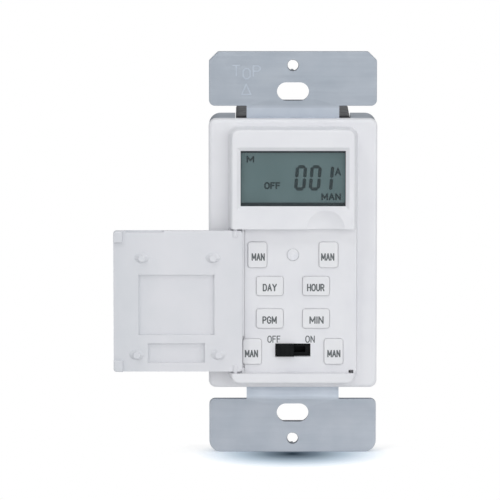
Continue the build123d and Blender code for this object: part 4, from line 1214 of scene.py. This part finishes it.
# %% True the door
FIELD_Y = (-8.95, -8.3)
MOVES = [  # low corner and high corner of a box, and the move of what lies in it, in millimetres
    ((-39.1, FIELD_Y[0], -20.3), (-38.9, FIELD_Y[1], -4.8), (-0.6, 0, 0)),
    ((-39.8, FIELD_Y[0], -5.0), (-20.0, FIELD_Y[1], -4.8), (0, 0, 0.33)),
    ((-36.9, FIELD_Y[0], -27.4), (-36.7, FIELD_Y[1], -22.2), (-0.33, 0, 0)),
    ((-22.3, FIELD_Y[0], -27.4), (-22.1, FIELD_Y[1], -22.2), (-0.33, 0, 0)),
    ((-43.0, -8.2, 6.2), (-32.8, -8.1, 6.8), (0, 0.5, 0)),
    ((-40.0, -8.45, -27.5), (-20.0, -8.35, -4.5), (0, 0.35, 0))]
NUB_PLACES = [(-38.7, 0.1), (-20.4, 0.1), (-40.0, -25.0), (-19.0, -25.0)]
NUB_REACH = 1.75
NUB_DROP = 0.45
NUB_TIP_Y, NUB_FOOT_Y = -9.7, -8.9
NUB_FOOT_REACH = NUB_FOOT_Y + 0.01
NUB_FLARE = 0.5


def move_corners(mesh, low, high, move):
    """Moves the corners that lie in a box from low to high, and returns how many they are."""
    picked = [v for v in mesh.vertices if all(low[i] <= v.co[i] / MM <= high[i] for i in range(3))]
    for vertex in picked:
        vertex.co += Vector(move) * MM
    return len(picked)


def true_nub(mesh, x, z):
    """Flares a nub towards its foot, and lowers it."""
    for vertex in mesh.vertices:
        corner = vertex.co / MM
        if corner.y < NUB_FOOT_REACH and max(abs(corner.x - x), abs(corner.z - z)) < NUB_REACH:
            foot = min(max((corner.y - NUB_TIP_Y) / (NUB_FOOT_Y - NUB_TIP_Y), 0), 1)
            vertex.co.x = (x + (corner.x - x) * (1 + NUB_FLARE * foot)) * MM
            vertex.co.z -= NUB_DROP * MM


door = merged_copy("timer_door", "trued_door")
counts = [move_corners(door.data, *box_and_move) for box_and_move in MOVES]
for x, z in NUB_PLACES:
    true_nub(door.data, x, z)
smooth(door)
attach(door, "door")
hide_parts("timer_door")
print("corners moved:", counts)


# %% [markdown]
# ## A bead beside the hinge
# A low rounded bead runs along the panel beside the hinge. It closes most of the gap at the edge of
# the open door, so the gap shows as a soft line and not as a black one. It is a box with bevelled
# edges, in two lengths that leave room for the lower left key, and clear of the door's swing.

# %% Bead beside the hinge
BEAD_LEFT, BEAD_RIGHT = -13.15 * MM, -12.4 * MM
BEAD_FRONT_Y, BEAD_BACK_Y = -7.25 * MM, -5.4 * MM
BEAD_KEY_GAP = 0.3 * MM
BEAD_EDGE = 0.2 * MM

door_low, door_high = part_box("timer_door")
key_low, key_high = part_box("key_manual_lower_left")
for name, low_z, high_z in (("hinge_bead_upper", key_high.z + BEAD_KEY_GAP, door_high.z),
                            ("hinge_bead_lower", door_low.z, key_low.z - BEAD_KEY_GAP)):
    centre = ((BEAD_LEFT + BEAD_RIGHT) / 2, (BEAD_FRONT_Y + BEAD_BACK_Y) / 2, (low_z + high_z) / 2)
    size = (BEAD_RIGHT - BEAD_LEFT, BEAD_BACK_Y - BEAD_FRONT_Y, high_z - low_z)
    bead = rounded_box(name, centre, size, BEAD_EDGE, segments=3)
    hang(bead, finishes["white_plastic"], "chassis")
    print(name, "is", round((high_z - low_z) / MM, 2), "mm long")
